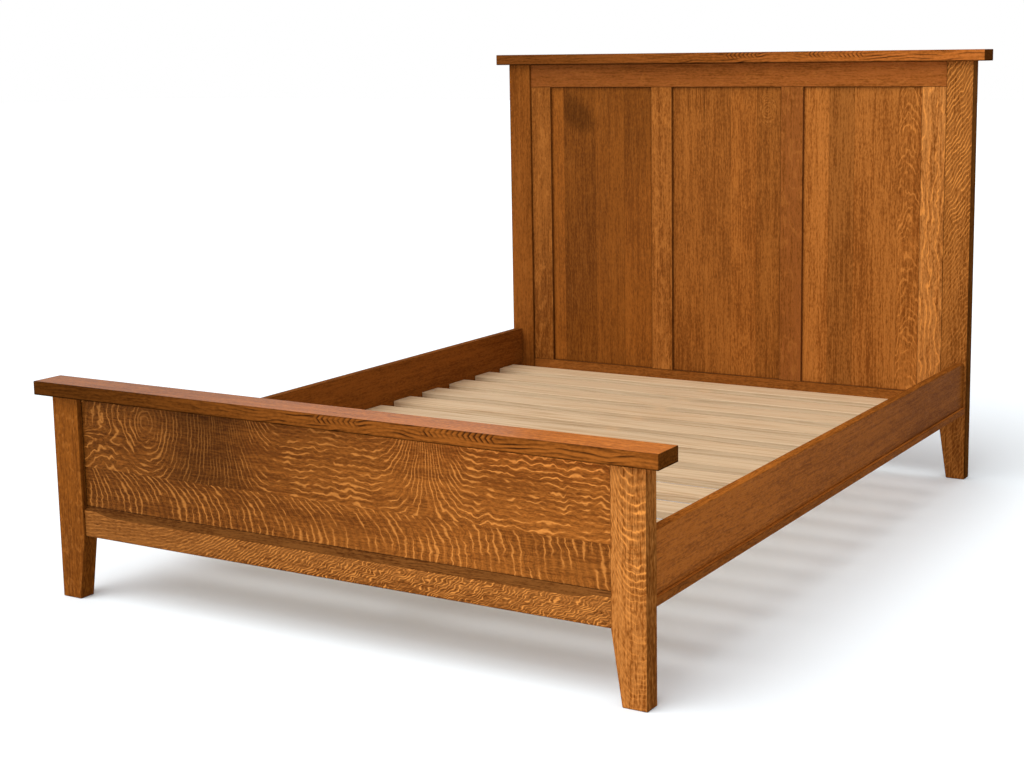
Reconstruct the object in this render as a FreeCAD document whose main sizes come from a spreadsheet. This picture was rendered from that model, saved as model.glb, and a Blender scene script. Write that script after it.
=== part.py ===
import FreeCAD, Part
import math
import os
import re
import Sketcher

# Queen size oak bed frame: panelled headboard and footboard under wide cap boards, side rails that hook
# onto the posts, a slatted deck on ledge strips, and a centre beam on two adjustable legs.
# Millimetres. X runs across the bed, Y from the foot to the head, Z up from the floor.

# Driving sizes: name, value, meaning
SIZES = [
    ("mattress_width", "1524", "mattress that the frame is made for"),
    ("mattress_length", "2032", "mattress that the frame is made for"),
    ("mattress_side_gap", "12.5", "room beside the mattress, each side"),
    ("mattress_end_gap", "25.5", "room beyond the mattress, each end"),
    ("edge_ease", "1.8", "rounding of the posts' and rails' long edges"),
    ("frame_ease", "1.0", "rounding of the frame members' edges"),
    ("cap_ease", "2.2", "rounding of the cap boards' edges"),
    ("cut_overrun", "2", "how far a cut runs past the face that it opens"),
    ("post_width", "82.5", "post, across the bed"),
    ("post_depth", "44", "post, along the bed"),
    ("leg_toe_width", "58", "post at the floor, below its taper"),
    ("leg_taper_height", "160", "height where the taper starts"),
    ("toe_bevel", "1.5", "bevel round the foot of each post"),
    ("head_height", "1308", "floor to the top of the headboard"),
    ("foot_height", "540", "floor to the top of the footboard"),
    ("cap_thickness", "34", "cap board"),
    ("cap_end_overhang", "38", "cap past the posts' outer faces"),
    ("cap_face_overhang", "22", "cap past the posts' front and back faces"),
    ("rail_floor_gap", "161", "floor to the underside of both bottom rails"),
    ("head_frame_recess", "6", "headboard frame behind the posts' front faces"),
    ("head_frame_thickness", "25", "headboard rails, stiles and mullions"),
    ("head_top_rail_height", "76", "headboard top rail"),
    ("head_bottom_rail_height", "100", "headboard bottom rail"),
    ("stile_width", "77", "headboard stile"),
    ("mullion_width", "76.5", "headboard mullion"),
    ("groove_width", "10", "groove for the headboard panels"),
    ("groove_depth", "10", "depth of every panel groove"),
    ("groove_clearance", "0.2", "between a panel's face and its groove"),
    ("panel_gap", "1.5", "room for a panel to swell at the bottom of its groove"),
    ("tenon_thickness", "12", "rail tenons"),
    ("tenon_length", "38", "rail tenons, past the shoulder"),
    ("tenon_shoulder", "12", "from a rail's edge to its tenon"),
    ("tenon_clearance", "0.15", "round a tenon in its mortise"),
    ("tenon_end_gap", "1.5", "between a tenon's end and its mortise"),
    ("foot_rail_recess", "5", "footboard rail behind the posts' front faces"),
    ("foot_rail_thickness", "30", "footboard bottom rail"),
    ("foot_rail_height", "74", "footboard bottom rail"),
    ("foot_bevel_depth", "8", "bevel on the rail's front top edge, front to back"),
    ("foot_bevel_height", "9", "same bevel at the posts, where it is small"),
    ("chamfer_height", "19", "stopped chamfer between the bevel's ends"),
    ("chamfer_stop", "100", "from a post to the chamfer's full depth"),
    ("chamfer_runout_radius", "500", "curve of the chamfer's two ends"),
    ("foot_panel_thickness", "16", "footboard panel"),
    ("rail_thickness", "26", "side rail"),
    ("rail_height", "136", "side rail above its ledge strip"),
    ("rail_inset", "9.5", "side rail behind the posts' outer faces"),
    ("rail_underside", "207", "floor to the underside of the ledge strip"),
    ("ledge_thickness", "19", "ledge strip under a side rail"),
    ("ledge_proud", "8", "ledge strip past the rail's outer face"),
    ("ledge_inner_width", "30", "ledge strip inside the rail, which carries the slats"),
    ("dowel_diameter", "10", "dowels between caps and posts"),
    ("dowel_length", "40", "dowels between caps and posts"),
    ("dowel_in_cap", "18", "part of a dowel that is in the cap"),
    ("dowel_spacing", "36", "between the two dowels of a post"),
    ("bore_clearance", "0.1", "round a dowel, screw, bolt or insert in its hole"),
    ("plate_width", "20", "steel plates at the rails' ends"),
    ("plate_height", "112", "steel plates at the rails' ends"),
    ("plate_thickness", "3", "steel plates at the rails' ends"),
    ("plate_clearance", "0.2", "round a plate in its seat"),
    ("hook_thickness", "4", "hooks on the hook plate"),
    ("hook_neck_height", "14", "part of a hook that passes through its slot"),
    ("hook_drop", "10", "part of a hook that hangs behind the slotted plate"),
    ("hook_nose", "6", "thickness of that part, along the bed"),
    ("hook_spacing", "46", "between the two hooks of a plate"),
    ("hook_clearance", "0.3", "between a hook and its slotted plate"),
    ("hook_room", "2", "free space round a hook in the post"),
    ("plate_screw_spacing", "96", "between the two screws of a plate"),
    ("slat_count", "13", "slats across the bed"),
    ("slat_width", "89", "slat"),
    ("slat_thickness", "19", "slat"),
    ("slat_end_gap", "2", "between a slat's end and the rail"),
    ("beam_width", "38", "centre beam"),
    ("beam_height", "57", "centre beam"),
    ("beam_end_gap", "1", "between the beam's end and the rail that carries it"),
    ("hanger_steel", "2.5", "sheet steel of the beam hangers"),
    ("hanger_reach", "42", "beam hanger along the beam"),
    ("hanger_height", "48", "beam hanger's side walls"),
    ("hanger_ear_width", "24", "beam hanger's ears, flat on the rail"),
    ("hanger_clearance", "0.3", "between the beam and its hanger"),
    ("hanger_screw_spacing", "26", "between the two screws of an ear"),
    ("leg_thickness", "38", "support leg, across the bed"),
    ("leg_width", "64", "support leg, along the bed"),
    ("leg_floor_gap", "30", "floor to the foot of a support leg"),
    ("leg_top_gap", "3", "between a support leg's top and the slats"),
    ("leg_spacing", "700", "between the two support legs"),
    ("leg_bevel", "3", "bevel of a support leg's edges"),
    ("bolt_spacing", "28", "between the two bolts of a support leg"),
    ("bolt_diameter", "8", "bolts of the support legs"),
    ("bolt_spare", "4", "bolt past its nut"),
    ("hex_width", "13", "across the flats of bolt heads, nuts and leveller collars"),
    ("bolt_head_height", "5.3", "bolt head"),
    ("nut_height", "6.5", "nut"),
    ("washer_diameter", "16", "washer"),
    ("washer_thickness", "1.6", "washer"),
    ("screw_diameter", "4.5", "wood screws"),
    ("screw_head_diameter", "8.6", "countersunk screw heads"),
    ("screw_head_height", "2.2", "countersunk screw heads"),
    ("slat_screw_length", "33", "slat to ledge strip"),
    ("ledge_screw_length", "48", "ledge strip to side rail"),
    ("ledge_screw_count", "7", "screws along each ledge strip"),
    ("ledge_screw_end_gap", "120", "from a rail's end to its first ledge screw"),
    ("plate_screw_length", "30", "plates to rails and posts"),
    ("hanger_screw_length", "18", "hangers to bottom rails"),
    ("insert_diameter", "12", "threaded insert's barrel"),
    ("insert_depth", "17", "threaded insert's barrel"),
    ("insert_flange_diameter", "24", "threaded insert's flange"),
    ("insert_flange_thickness", "2", "threaded insert's flange"),
    ("stem_diameter", "8", "leveller stem"),
    ("stem_height", "85", "floor to the top of a leveller stem"),
    ("stem_room", "30", "free bore above a leveller stem"),
    ("stem_clearance", "0.05", "round a stem in its insert and pad"),
    ("stem_side_room", "1", "round a stem in its leg"),
    ("stem_seat_gap", "0.3", "between a stem's collar or end and the pad"),
    ("collar_height", "6", "hexagon collar of a leveller stem"),
    ("pad_diameter", "38", "leveller pad"),
    ("pad_edge_height", "5", "leveller pad's rim"),
    ("pad_hub_diameter", "19", "hub in the middle of a leveller pad"),
    ("pad_hub_height", "11", "floor to the top of that hub"),
    ("pad_sole", "3", "pad under the stem's end"),
    ("pad_foot_bevel", "1.5", "bevel under the pad's rim"),
]

# Places and sizes that follow from the driving sizes: name, formula
PLACES = [
    ("rail_length", "mattress_length + 2 * mattress_end_gap"),
    ("rail_half", "rail_length / 2"),
    ("rail_inner", "mattress_width / 2 + mattress_side_gap"),
    ("rail_middle", "rail_inner + rail_thickness / 2"),
    ("post_outer", "rail_inner + rail_thickness + rail_inset"),
    ("post_inner", "post_outer - post_width"),
    ("foot_front", "-rail_half - post_depth"),
    ("cap_half", "post_outer + cap_end_overhang"),
    ("cap_depth", "post_depth + 2 * cap_face_overhang"),
    ("head_post_height", "head_height - cap_thickness"),
    ("foot_post_height", "foot_height - cap_thickness"),
    ("head_frame_front", "rail_half + head_frame_recess"),
    ("head_opening_base", "rail_floor_gap + head_bottom_rail_height"),
    ("head_opening_top", "head_post_height - head_top_rail_height"),
    ("head_opening_height", "head_opening_top - head_opening_base"),
    ("head_opening_width", "(2 * post_inner - 2 * stile_width - 2 * mullion_width) / 3"),
    ("stile_inner", "post_inner - stile_width"),
    ("mullion_inner", "head_opening_width / 2"),
    ("mullion_outer", "mullion_inner + mullion_width"),
    ("groove_front", "(head_frame_thickness - groove_width) / 2"),
    ("groove_back", "groove_front + groove_width"),
    ("tongue_length", "groove_depth - panel_gap"),
    ("head_tenon_front", "(head_frame_thickness - tenon_thickness) / 2"),
    ("foot_tenon_front", "(foot_rail_thickness - tenon_thickness) / 2"),
    ("foot_rail_top", "rail_floor_gap + foot_rail_height"),
    ("foot_groove_width", "foot_panel_thickness + 2 * groove_clearance"),
    ("foot_panel_front", "foot_rail_recess + foot_bevel_depth + groove_clearance"),
    ("foot_rail_back", "foot_front + foot_rail_recess + foot_rail_thickness"),
    ("mortise_depth", "tenon_length + tenon_end_gap"),
    ("dowel_in_post", "dowel_length - dowel_in_cap"),
    ("top_tenon_top", "head_top_rail_height - dowel_in_post - tenon_shoulder / 2"),
    ("chamfer_bite", "foot_bevel_depth * (chamfer_height - foot_bevel_height)"
                     " / sqrt(foot_bevel_depth ^ 2 + chamfer_height ^ 2)"),
    ("chamfer_sweep", "4 * chamfer_height"),
    ("ledge_top", "rail_underside + ledge_thickness"),
    ("plate_middle", "ledge_top + rail_height / 2"),
    ("hook_height", "hook_neck_height + hook_drop"),
    ("slot_height", "hook_height + hook_room"),
    ("slot_width", "hook_thickness + 2 * hook_clearance"),
    ("hook_reach", "plate_thickness + hook_clearance + hook_nose"),
    ("pocket_depth", "hook_reach + hook_room"),
    ("slat_half", "rail_inner - slat_end_gap"),
    ("slat_gap", "(rail_length - slat_count * slat_width) / (slat_count + 1)"),
    ("slat_screw_place", "rail_inner - ledge_inner_width / 2"),
    ("beam_base", "ledge_top - beam_height"),
    ("beam_start", "foot_rail_back + beam_end_gap"),
    ("beam_length", "head_frame_front - foot_rail_back - 2 * beam_end_gap"),
    ("hanger_half", "beam_width / 2 + hanger_clearance + hanger_steel"),
    ("hanger_base", "beam_base - hanger_steel"),
    ("leg_middle", "beam_width / 2 + leg_thickness / 2"),
    ("leg_top", "ledge_top - leg_top_gap"),
    ("stem_foot", "pad_sole + stem_seat_gap"),
    ("collar_base", "pad_hub_height + stem_seat_gap"),
]

doc = FreeCAD.newDocument("BedFrame")
sizes = doc.addObject("Spreadsheet::Sheet", "Sizes")
places = doc.addObject("Spreadsheet::Sheet", "Places")
driving_names = [name for name, number, meaning in SIZES]
derived_names = [name for name, formula in PLACES]
nodes = []


def bound(text):
    """Turn a formula in plain names into one that reads the two sheets."""
    def sheet_name(found):
        name = found.group(0)
        if name in driving_names:
            return "Sizes." + name
        if name in derived_names:
            return "Places." + name
        raise NameError(name)
    return re.sub(r"[a-z]+(?:_[a-z]+)+", sheet_name, text)


def value(name):
    """Number that a named size or place has now."""
    sheet = sizes if name in driving_names else places
    return float(sheet.get(name))


for row, (name, number, meaning) in enumerate(SIZES, start=1):
    sizes.set(f"A{row}", meaning)
    sizes.set(f"B{row}", number)
    sizes.setAlias(f"B{row}", name)
for row, (name, formula) in enumerate(PLACES, start=1):
    places.set(f"B{row}", "=" + bound(formula))
    places.setAlias(f"B{row}", name)
doc.recompute()


# Drawing and feature helpers

PLANES = {"X": "YZ_Plane", "Y": "XZ_Plane", "Z": "XY_Plane"}


def new_body(label, x="0", y="0", z="0"):
    """Empty body whose own origin stands at the given place."""
    body = doc.addObject("PartDesign::Body", label)
    body.Label = label
    for letter, formula in zip("xyz", (x, y, z)):
        body.setExpression("Placement.Base." + letter, bound(formula))
    return body


def keep(item):
    """Note a finished sub-part, which is written to a file under its label."""
    nodes.append(item)
    return item


def new_sketch(body, name, axis, start="0"):
    """Empty sketch square to an axis of its body, at a distance along that axis."""
    sketch = body.newObject("Sketcher::SketchObject", name)
    plane = next(item for item in body.Origin.OriginFeatures if item.Role == PLANES[axis])
    sketch.AttachmentSupport = [(plane, "")]
    sketch.MapMode = "FlatFace"
    # The XZ plane faces -Y, so distances along Y are counted backwards from it
    sign = "-1 * " if axis == "Y" else ""
    sketch.setExpression("AttachmentOffset.Base.z", sign + "(" + bound(start) + ")")
    return sketch


def hold(sketch, kind, curve, end, formula, first_guess):
    """Give one coordinate of a sketch point its formula."""
    index = sketch.addConstraint(Sketcher.Constraint(kind, curve, end, first_guess))
    sketch.setExpression(f"Constraints[{index}]", bound(formula))


def draw_outline(sketch, points):
    """Closed outline of straight lines through points given as formulas."""
    count = len(points)
    turns = [2 * math.pi * index / count for index in range(count)]
    guesses = [FreeCAD.Vector(math.cos(turn), math.sin(turn), 0) for turn in turns]
    first = sketch.GeometryCount
    for index in range(count):
        sketch.addGeometry(Part.LineSegment(guesses[index], guesses[(index + 1) % count]), False)
    for index in range(count):
        after = first + (index + 1) % count
        sketch.addConstraint(Sketcher.Constraint("Coincident", first + index, 2, after, 1))
    for index, (across, up) in enumerate(points):
        hold(sketch, "DistanceX", first + index, 1, across, guesses[index].x)
        hold(sketch, "DistanceY", first + index, 1, up, guesses[index].y)


def rectangle(left, right, low, high):
    """Corners of a rectangle, as formulas."""
    return [(left, low), (right, low), (right, high), (left, high)]


def extrude(body, kind, sketch, axis, length):
    """Pad or pocket that runs from its sketch in the positive direction of the axis."""
    feature = body.newObject("PartDesign::" + kind, sketch.Name + kind)
    feature.Profile = sketch
    feature.setExpression("Length", bound(length))
    # A pad follows its plane's normal and a pocket goes against it
    feature.Reversed = (kind == "Pad") == (axis == "Y")
    return feature


def pad(body, name, axis, outline, start, length):
    """Solid of one outline along an axis."""
    sketch = new_sketch(body, name, axis, start)
    draw_outline(sketch, outline)
    return extrude(body, "Pad", sketch, axis, length)


def cut(body, name, axis, outline, start, length):
    """Mortise, groove, seat or slot of one outline along an axis."""
    sketch = new_sketch(body, name, axis, start)
    draw_outline(sketch, outline)
    return extrude(body, "Pocket", sketch, axis, length)


def draw_circles(sketch, centres, diameter):
    """Circles of one diameter at centres given as formulas."""
    for across, up in centres:
        circle = sketch.addGeometry(Part.Circle(), False)
        hold(sketch, "DistanceX", circle, 3, across, 0)
        hold(sketch, "DistanceY", circle, 3, up, 0)
        index = sketch.addConstraint(Sketcher.Constraint("Diameter", circle, 1))
        sketch.setExpression(f"Constraints[{index}]", bound(diameter))


def bore(body, name, axis, centres, diameter, start, length):
    """Round holes along an axis."""
    sketch = new_sketch(body, name, axis, start)
    draw_circles(sketch, centres, diameter)
    return extrude(body, "Pocket", sketch, axis, length)


def rod(body, name, axis, centres, diameter, start, length):
    """Round bars along an axis."""
    sketch = new_sketch(body, name, axis, start)
    draw_circles(sketch, centres, diameter)
    return extrude(body, "Pad", sketch, axis, length)


def revolve(body, name, outline):
    """Solid turned about the body's Z axis from an outline of radius and height."""
    sketch = new_sketch(body, name, "Y")
    draw_outline(sketch, outline)
    turned = body.newObject("PartDesign::Revolution", name + "Revolution")
    turned.Profile = sketch
    turned.ReferenceAxis = (sketch, ["V_Axis"])
    turned.Angle = 360
    return turned


def runs_along(edge, axis):
    """Whether an edge follows an axis, within a taper."""
    least_share = 0.9
    span = edge.Vertexes[-1].Point - edge.Vertexes[0].Point
    return abs(getattr(span, axis.lower())) > least_share * edge.Length


def soften(body, kind, size, chosen):
    """Fillet or chamfer the chosen edges of what the body holds so far."""
    doc.recompute()
    base = body.Tip
    names = [f"Edge{place}" for place, edge in enumerate(base.Shape.Edges, start=1) if chosen(edge)]
    feature = body.newObject("PartDesign::" + kind, body.Name + kind)
    feature.Base = (base, names)
    feature.setExpression("Radius" if kind == "Fillet" else "Size", bound(size))
    return feature


def mirror(label, source, normal):
    """Mirror image of a sub-part on the other side of the bed, or at its other end."""
    image = doc.addObject("Part::Mirroring", label)
    image.Label = label
    image.Source = source
    image.Normal = normal
    return image


ACROSS = FreeCAD.Vector(1, 0, 0)
ALONG = FreeCAD.Vector(0, 1, 0)
UP = FreeCAD.Vector(0, 0, 1)


def bored(label, blank, *fastenings):
    """Blank with the holes of the fastenings that pass through it."""
    for place, fastening in enumerate(fastenings, start=1):
        result = doc.addObject("Part::Cut", f"{label}_drilled_{place}")
        result.Base = blank
        result.Tool = fastening
        blank = result
    blank.Label = label
    return blank


def shape_object(name, solids):
    """Group of separate solids as one object."""
    item = doc.addObject("Part::Feature", name)
    item.Label = name
    item.Shape = Part.makeCompound(solids)
    item.Placement = FreeCAD.Placement()
    return item


def screw(tip_side, length, spare=0):
    """Countersunk screw at the origin, its head's top at the origin and its tip along tip_side."""
    head = value("screw_head_height")
    outer = value("screw_head_diameter") / 2 + spare
    inner = value("screw_diameter") / 2 + spare
    origin = FreeCAD.Vector()
    cone = Part.makeCone(outer, inner, head, origin, tip_side)
    shank = Part.makeCylinder(inner, length + spare, origin, tip_side)
    return cone.fuse(shank).removeSplitter()


def screw_group(label, length_name, seats):
    """Screws and their holes at seats given as a point and a direction."""
    length = value(length_name)
    holes = [screw(side, length, value("bore_clearance")).translated(point) for point, side in seats]
    screws = [screw(side, length).translated(point) for point, side in seats]
    keep(shape_object(label, screws))
    return shape_object(label + "_holes", holes)


# Fasteners, whose holes are taken out of the pieces that they hold

def spread(first, last, count):
    """Evenly spaced places from first to last."""
    step = (last - first) / (count - 1)
    return [first + step * index for index in range(count)]


def slat_starts():
    """Y of each slat's edge on the foot side."""
    gap = value("slat_gap")
    pitch = gap + value("slat_width")
    first = gap - value("rail_half")
    return [first + pitch * index for index in range(round(value("slat_count")))]


def slat_screw_seats():
    top = value("ledge_top") + value("slat_thickness")
    reach = value("slat_screw_place")
    middles = [start + value("slat_width") / 2 for start in slat_starts()]
    return [(FreeCAD.Vector(x, y, top), -UP) for x in (-reach, reach) for y in middles]


def ledge_screw_seats():
    reach = value("rail_half") - value("ledge_screw_end_gap")
    rows = spread(-reach, reach, round(value("ledge_screw_count")))
    sides = (-value("rail_middle"), value("rail_middle"))
    return [(FreeCAD.Vector(x, y, value("rail_underside")), UP) for x in sides for y in rows]


def plate_screw_seats():
    """Both screws of each hook plate go into the rail, both of each slotted plate into the post."""
    seats = []
    half = value("plate_screw_spacing") / 2
    for x in (-value("rail_middle"), value("rail_middle")):
        for z in (value("plate_middle") - half, value("plate_middle") + half):
            for end in (-1, 1):
                point = FreeCAD.Vector(x, end * value("rail_half"), z)
                seats += [(point, ALONG * side) for side in (-1, 1)]
    return seats


def hanger_screw_seats():
    seats = []
    steel = value("hanger_steel")
    reach = value("hanger_half") + value("hanger_ear_width") / 2
    middle = value("hanger_base") + value("hanger_height") / 2
    half = value("hanger_screw_spacing") / 2
    for x in (-reach, reach):
        for z in (middle - half, middle + half):
            seats.append((FreeCAD.Vector(x, value("foot_rail_back") + steel, z), -ALONG))
            seats.append((FreeCAD.Vector(x, value("head_frame_front") - steel, z), ALONG))
    return seats


def hexagon(width, height, point, side):
    """Six-sided bar across the flats, standing on a point."""
    radius = width / math.sqrt(3)
    turns = [math.pi / 3 * index for index in range(7)]
    corners = [FreeCAD.Vector(0, radius * math.cos(turn), radius * math.sin(turn)) for turn in turns]
    return Part.Face(Part.makePolygon(corners)).extrude(side * height).translated(point)


def bolt_seats():
    """Where each bolt enters the beam on the side away from its leg."""
    middle = value("beam_base") + value("beam_height") / 2
    half = value("bolt_spacing") / 2
    x = -value("beam_width") / 2
    rows = (-value("leg_spacing") / 2, value("leg_spacing") / 2)
    return [FreeCAD.Vector(x, y, middle + step) for y in rows for step in (-half, half)]


def bolt_set(point):
    """Bolt, nut and two washers through the beam and a leg, as four solids."""
    radius = value("bolt_diameter") / 2
    washer = value("washer_thickness")
    through = value("beam_width") + value("leg_thickness")
    outside = value("nut_height") + value("bolt_spare")
    head_seat = point - ACROSS * washer
    nut_seat = point + ACROSS * (through + washer)
    shank = Part.makeCylinder(radius, through + 2 * washer + outside, head_seat, ACROSS)
    head = hexagon(value("hex_width"), value("bolt_head_height"), head_seat, -ACROSS)
    hole = Part.makeCylinder(radius + value("bore_clearance"), through + 2 * outside,
                             head_seat, ACROSS)
    rings = [Part.makeCylinder(value("washer_diameter") / 2, washer, seat, ACROSS).cut(hole)
             for seat in (head_seat, nut_seat - ACROSS * washer)]
    nut = hexagon(value("hex_width"), value("nut_height"), nut_seat, ACROSS).cut(hole)
    return [head.fuse(shank).removeSplitter(), nut] + rings


def bolt_hole(point):
    through = value("beam_width") + value("leg_thickness")
    radius = value("bolt_diameter") / 2 + value("bore_clearance")
    return Part.makeCylinder(radius, through, point, ACROSS)


def dowel_seats():
    """Lower end of each dowel: two in the top of every post."""
    seats = []
    half = value("dowel_spacing") / 2
    middle = value("post_inner") + value("post_width") / 2
    below = value("dowel_in_post")
    ends = [(value("foot_front"), value("foot_post_height")), (value("rail_half"), value("head_post_height"))]
    for front, top in ends:
        for x in (-middle - half, -middle + half, middle - half, middle + half):
            seats.append(FreeCAD.Vector(x, front + value("post_depth") / 2, top - below))
    return seats


def dowel(seat, spare=0):
    radius = value("dowel_diameter") / 2 + spare
    return Part.makeCylinder(radius, value("dowel_length") + 2 * spare, seat - UP * spare, UP)


slat_screw_holes = screw_group("slat_screws", "slat_screw_length", slat_screw_seats())
ledge_screw_holes = screw_group("ledge_screws", "ledge_screw_length", ledge_screw_seats())
plate_screw_holes = screw_group("plate_screws", "plate_screw_length", plate_screw_seats())
hanger_screw_holes = screw_group("hanger_screws", "hanger_screw_length", hanger_screw_seats())
keep(shape_object("leg_bolts", [solid for seat in bolt_seats() for solid in bolt_set(seat)]))
bolt_holes = shape_object("leg_bolt_holes", [bolt_hole(seat) for seat in bolt_seats()])
keep(shape_object("cap_dowels", [dowel(seat) for seat in dowel_seats()]))
wide_dowels = [dowel(seat, value("bore_clearance")) for seat in dowel_seats()]
dowel_holes = shape_object("cap_dowel_holes", wide_dowels)


# Posts

def post_blank(label, front, height):
    """Right-hand post: straight outside, tapered on its inner side below the rails."""
    post = new_body(label + "_blank", "post_inner", front)
    side = [("post_width - leg_toe_width", "0"), ("post_width", "0"), ("post_width", height),
            ("0", height), ("0", "leg_taper_height")]
    pad(post, label + "_side", "Y", side, "0", "post_depth")
    middle = value("post_width") / 2
    soften(post, "Fillet", "edge_ease",
           lambda edge: runs_along(edge, "Z") and edge.CenterOfMass.x > middle)
    soften(post, "Chamfer", "edge_ease",
           lambda edge: runs_along(edge, "Z") and edge.CenterOfMass.x < middle)
    soften(post, "Chamfer", "toe_bevel", lambda edge: edge.BoundBox.ZMax < value("toe_bevel"))
    return post


def mortise(post, name, front, low, high):
    """Mortise in a post's inner face for a rail's tenon."""
    hole = rectangle(f"{front} - tenon_clearance", f"{front} + tenon_thickness + tenon_clearance",
                     f"{low} - tenon_clearance", f"{high} + tenon_clearance")
    cut(post, name, "X", hole, "0", "mortise_depth")


def plate_seat(post, name, face, inwards):
    """Seat for the slotted plate in a post's face, with two deeper pockets for the hooks."""
    middle = "(rail_middle - post_inner)"
    half_width = "(plate_width / 2 + plate_clearance)"
    half_height = "(plate_height / 2 + plate_clearance)"
    seat = rectangle(f"{middle} - {half_width}", f"{middle} + {half_width}",
                     f"plate_middle - {half_height}", f"plate_middle + {half_height}")
    start = face if inwards else f"{face} - plate_thickness"
    cut(post, name, "Y", seat, start, "plate_thickness")
    room = "(slot_width / 2 + hook_room)"
    for place, side in (("lower", "-"), ("upper", "+")):
        neck = f"(plate_middle {side} hook_spacing / 2)"
        pocket = rectangle(f"{middle} - {room}", f"{middle} + {room}",
                           f"{neck} - hook_drop - hook_room", f"{neck} + hook_height + hook_room")
        start = face if inwards else f"{face} - pocket_depth"
        cut(post, f"{name}_{place}_pocket", "Y", pocket, start, "pocket_depth")


def make_posts():
    head = post_blank("head_post", "rail_half", "head_post_height")
    tenon_front = "(head_frame_recess + head_tenon_front)"
    mortise(head, "head_post_top_mortise", tenon_front,
            "head_opening_top + tenon_shoulder", "head_opening_top + top_tenon_top")
    mortise(head, "head_post_bottom_mortise", tenon_front,
            "rail_floor_gap + tenon_shoulder", "head_opening_base - tenon_shoulder")
    plate_seat(head, "head_post_plate_seat", "0", True)
    right = keep(bored("head_post_right", head, dowel_holes, plate_screw_holes))
    keep(mirror("head_post_left", right, ACROSS))

    foot = post_blank("foot_post", "foot_front", "foot_post_height")
    mortise(foot, "foot_post_mortise", "(foot_rail_recess + foot_tenon_front)",
            "rail_floor_gap + tenon_shoulder", "foot_rail_top - groove_depth - tenon_shoulder")
    front = "(foot_panel_front - groove_clearance)"
    groove = rectangle("0", "groove_depth", front, f"{front} + foot_groove_width")
    cut(foot, "foot_post_groove", "Z", groove, "foot_rail_top - groove_depth",
        "foot_post_height - foot_rail_top + groove_depth")
    plate_seat(foot, "foot_post_plate_seat", "post_depth", False)
    right = keep(bored("foot_post_right", foot, dowel_holes, plate_screw_holes))
    keep(mirror("foot_post_left", right, ACROSS))


# Caps

def cap_blank(label, front, base):
    cap = new_body(label + "_blank", "0", f"{front} - cap_face_overhang", base)
    pad(cap, label + "_section", "X", rectangle("0", "cap_depth", "0", "cap_thickness"),
        "-cap_half", "2 * cap_half")
    soften(cap, "Fillet", "cap_ease", lambda edge: True)
    return cap


def make_caps():
    head = cap_blank("head_cap", "rail_half", "head_post_height")
    keep(bored("head_cap", head, dowel_holes))
    foot = cap_blank("foot_cap", "foot_front", "foot_post_height")
    front = "(cap_face_overhang + foot_panel_front - groove_clearance)"
    groove = rectangle("-post_inner - groove_depth", "post_inner + groove_depth",
                       front, f"{front} + foot_groove_width")
    cut(foot, "foot_cap_groove", "Z", groove, "0", "groove_depth")
    keep(bored("foot_cap", foot, dowel_holes))


# Headboard frame and panels

def tenons(rail, name, front, low, high):
    """Tenon at each end of a rail, as one bar through it."""
    bar = rectangle(front, f"{front} + tenon_thickness", low, high)
    pad(rail, name, "X", bar, "-post_inner - tenon_length", "2 * (post_inner + tenon_length)")


def head_rail(label, base, height, tenon_top, grooved_low, grooved_high):
    rail = new_body(label, "0", "head_frame_front", base)
    pad(rail, label + "_section", "X", rectangle("0", "head_frame_thickness", "0", height),
        "-post_inner", "2 * post_inner")
    soften(rail, "Fillet", "frame_ease", lambda edge: runs_along(edge, "X"))
    tenons(rail, label + "_tenons", "head_tenon_front", "tenon_shoulder", tenon_top)
    cut(rail, label + "_groove", "X", rectangle("groove_front", "groove_back", grooved_low, grooved_high),
        "-post_inner", "2 * post_inner")
    return rail


def head_upright(label, left, right, grooved_sides):
    """Stile or mullion with stub tenons in the rails' grooves and grooves for the panels."""
    upright = new_body(label, "0", "head_frame_front", "head_opening_base")
    pad(upright, label + "_section", "Z", rectangle(left, right, "0", "head_frame_thickness"),
        "0", "head_opening_height")
    soften(upright, "Fillet", "frame_ease", lambda edge: runs_along(edge, "Z"))
    stub = rectangle(left, right, "groove_front + groove_clearance", "groove_back - groove_clearance")
    pad(upright, label + "_stubs", "Z", stub, "-tongue_length", "head_opening_height + 2 * tongue_length")
    for name, start, end in grooved_sides:
        cut(upright, f"{label}_{name}_groove", "Z", rectangle(start, end, "groove_front", "groove_back"),
            "-tongue_length", "head_opening_height + 2 * tongue_length")
    return upright


def head_panel(label, left, right):
    """Flat panel, loose in the grooves round it."""
    panel = new_body(label, "0", "head_frame_front", "head_opening_base")
    section = rectangle(f"{left} - tongue_length", f"{right} + tongue_length",
                        "groove_front + groove_clearance", "groove_back - groove_clearance")
    pad(panel, label + "_section", "Z", section, "-tongue_length", "head_opening_height + 2 * tongue_length")
    return panel


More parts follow.
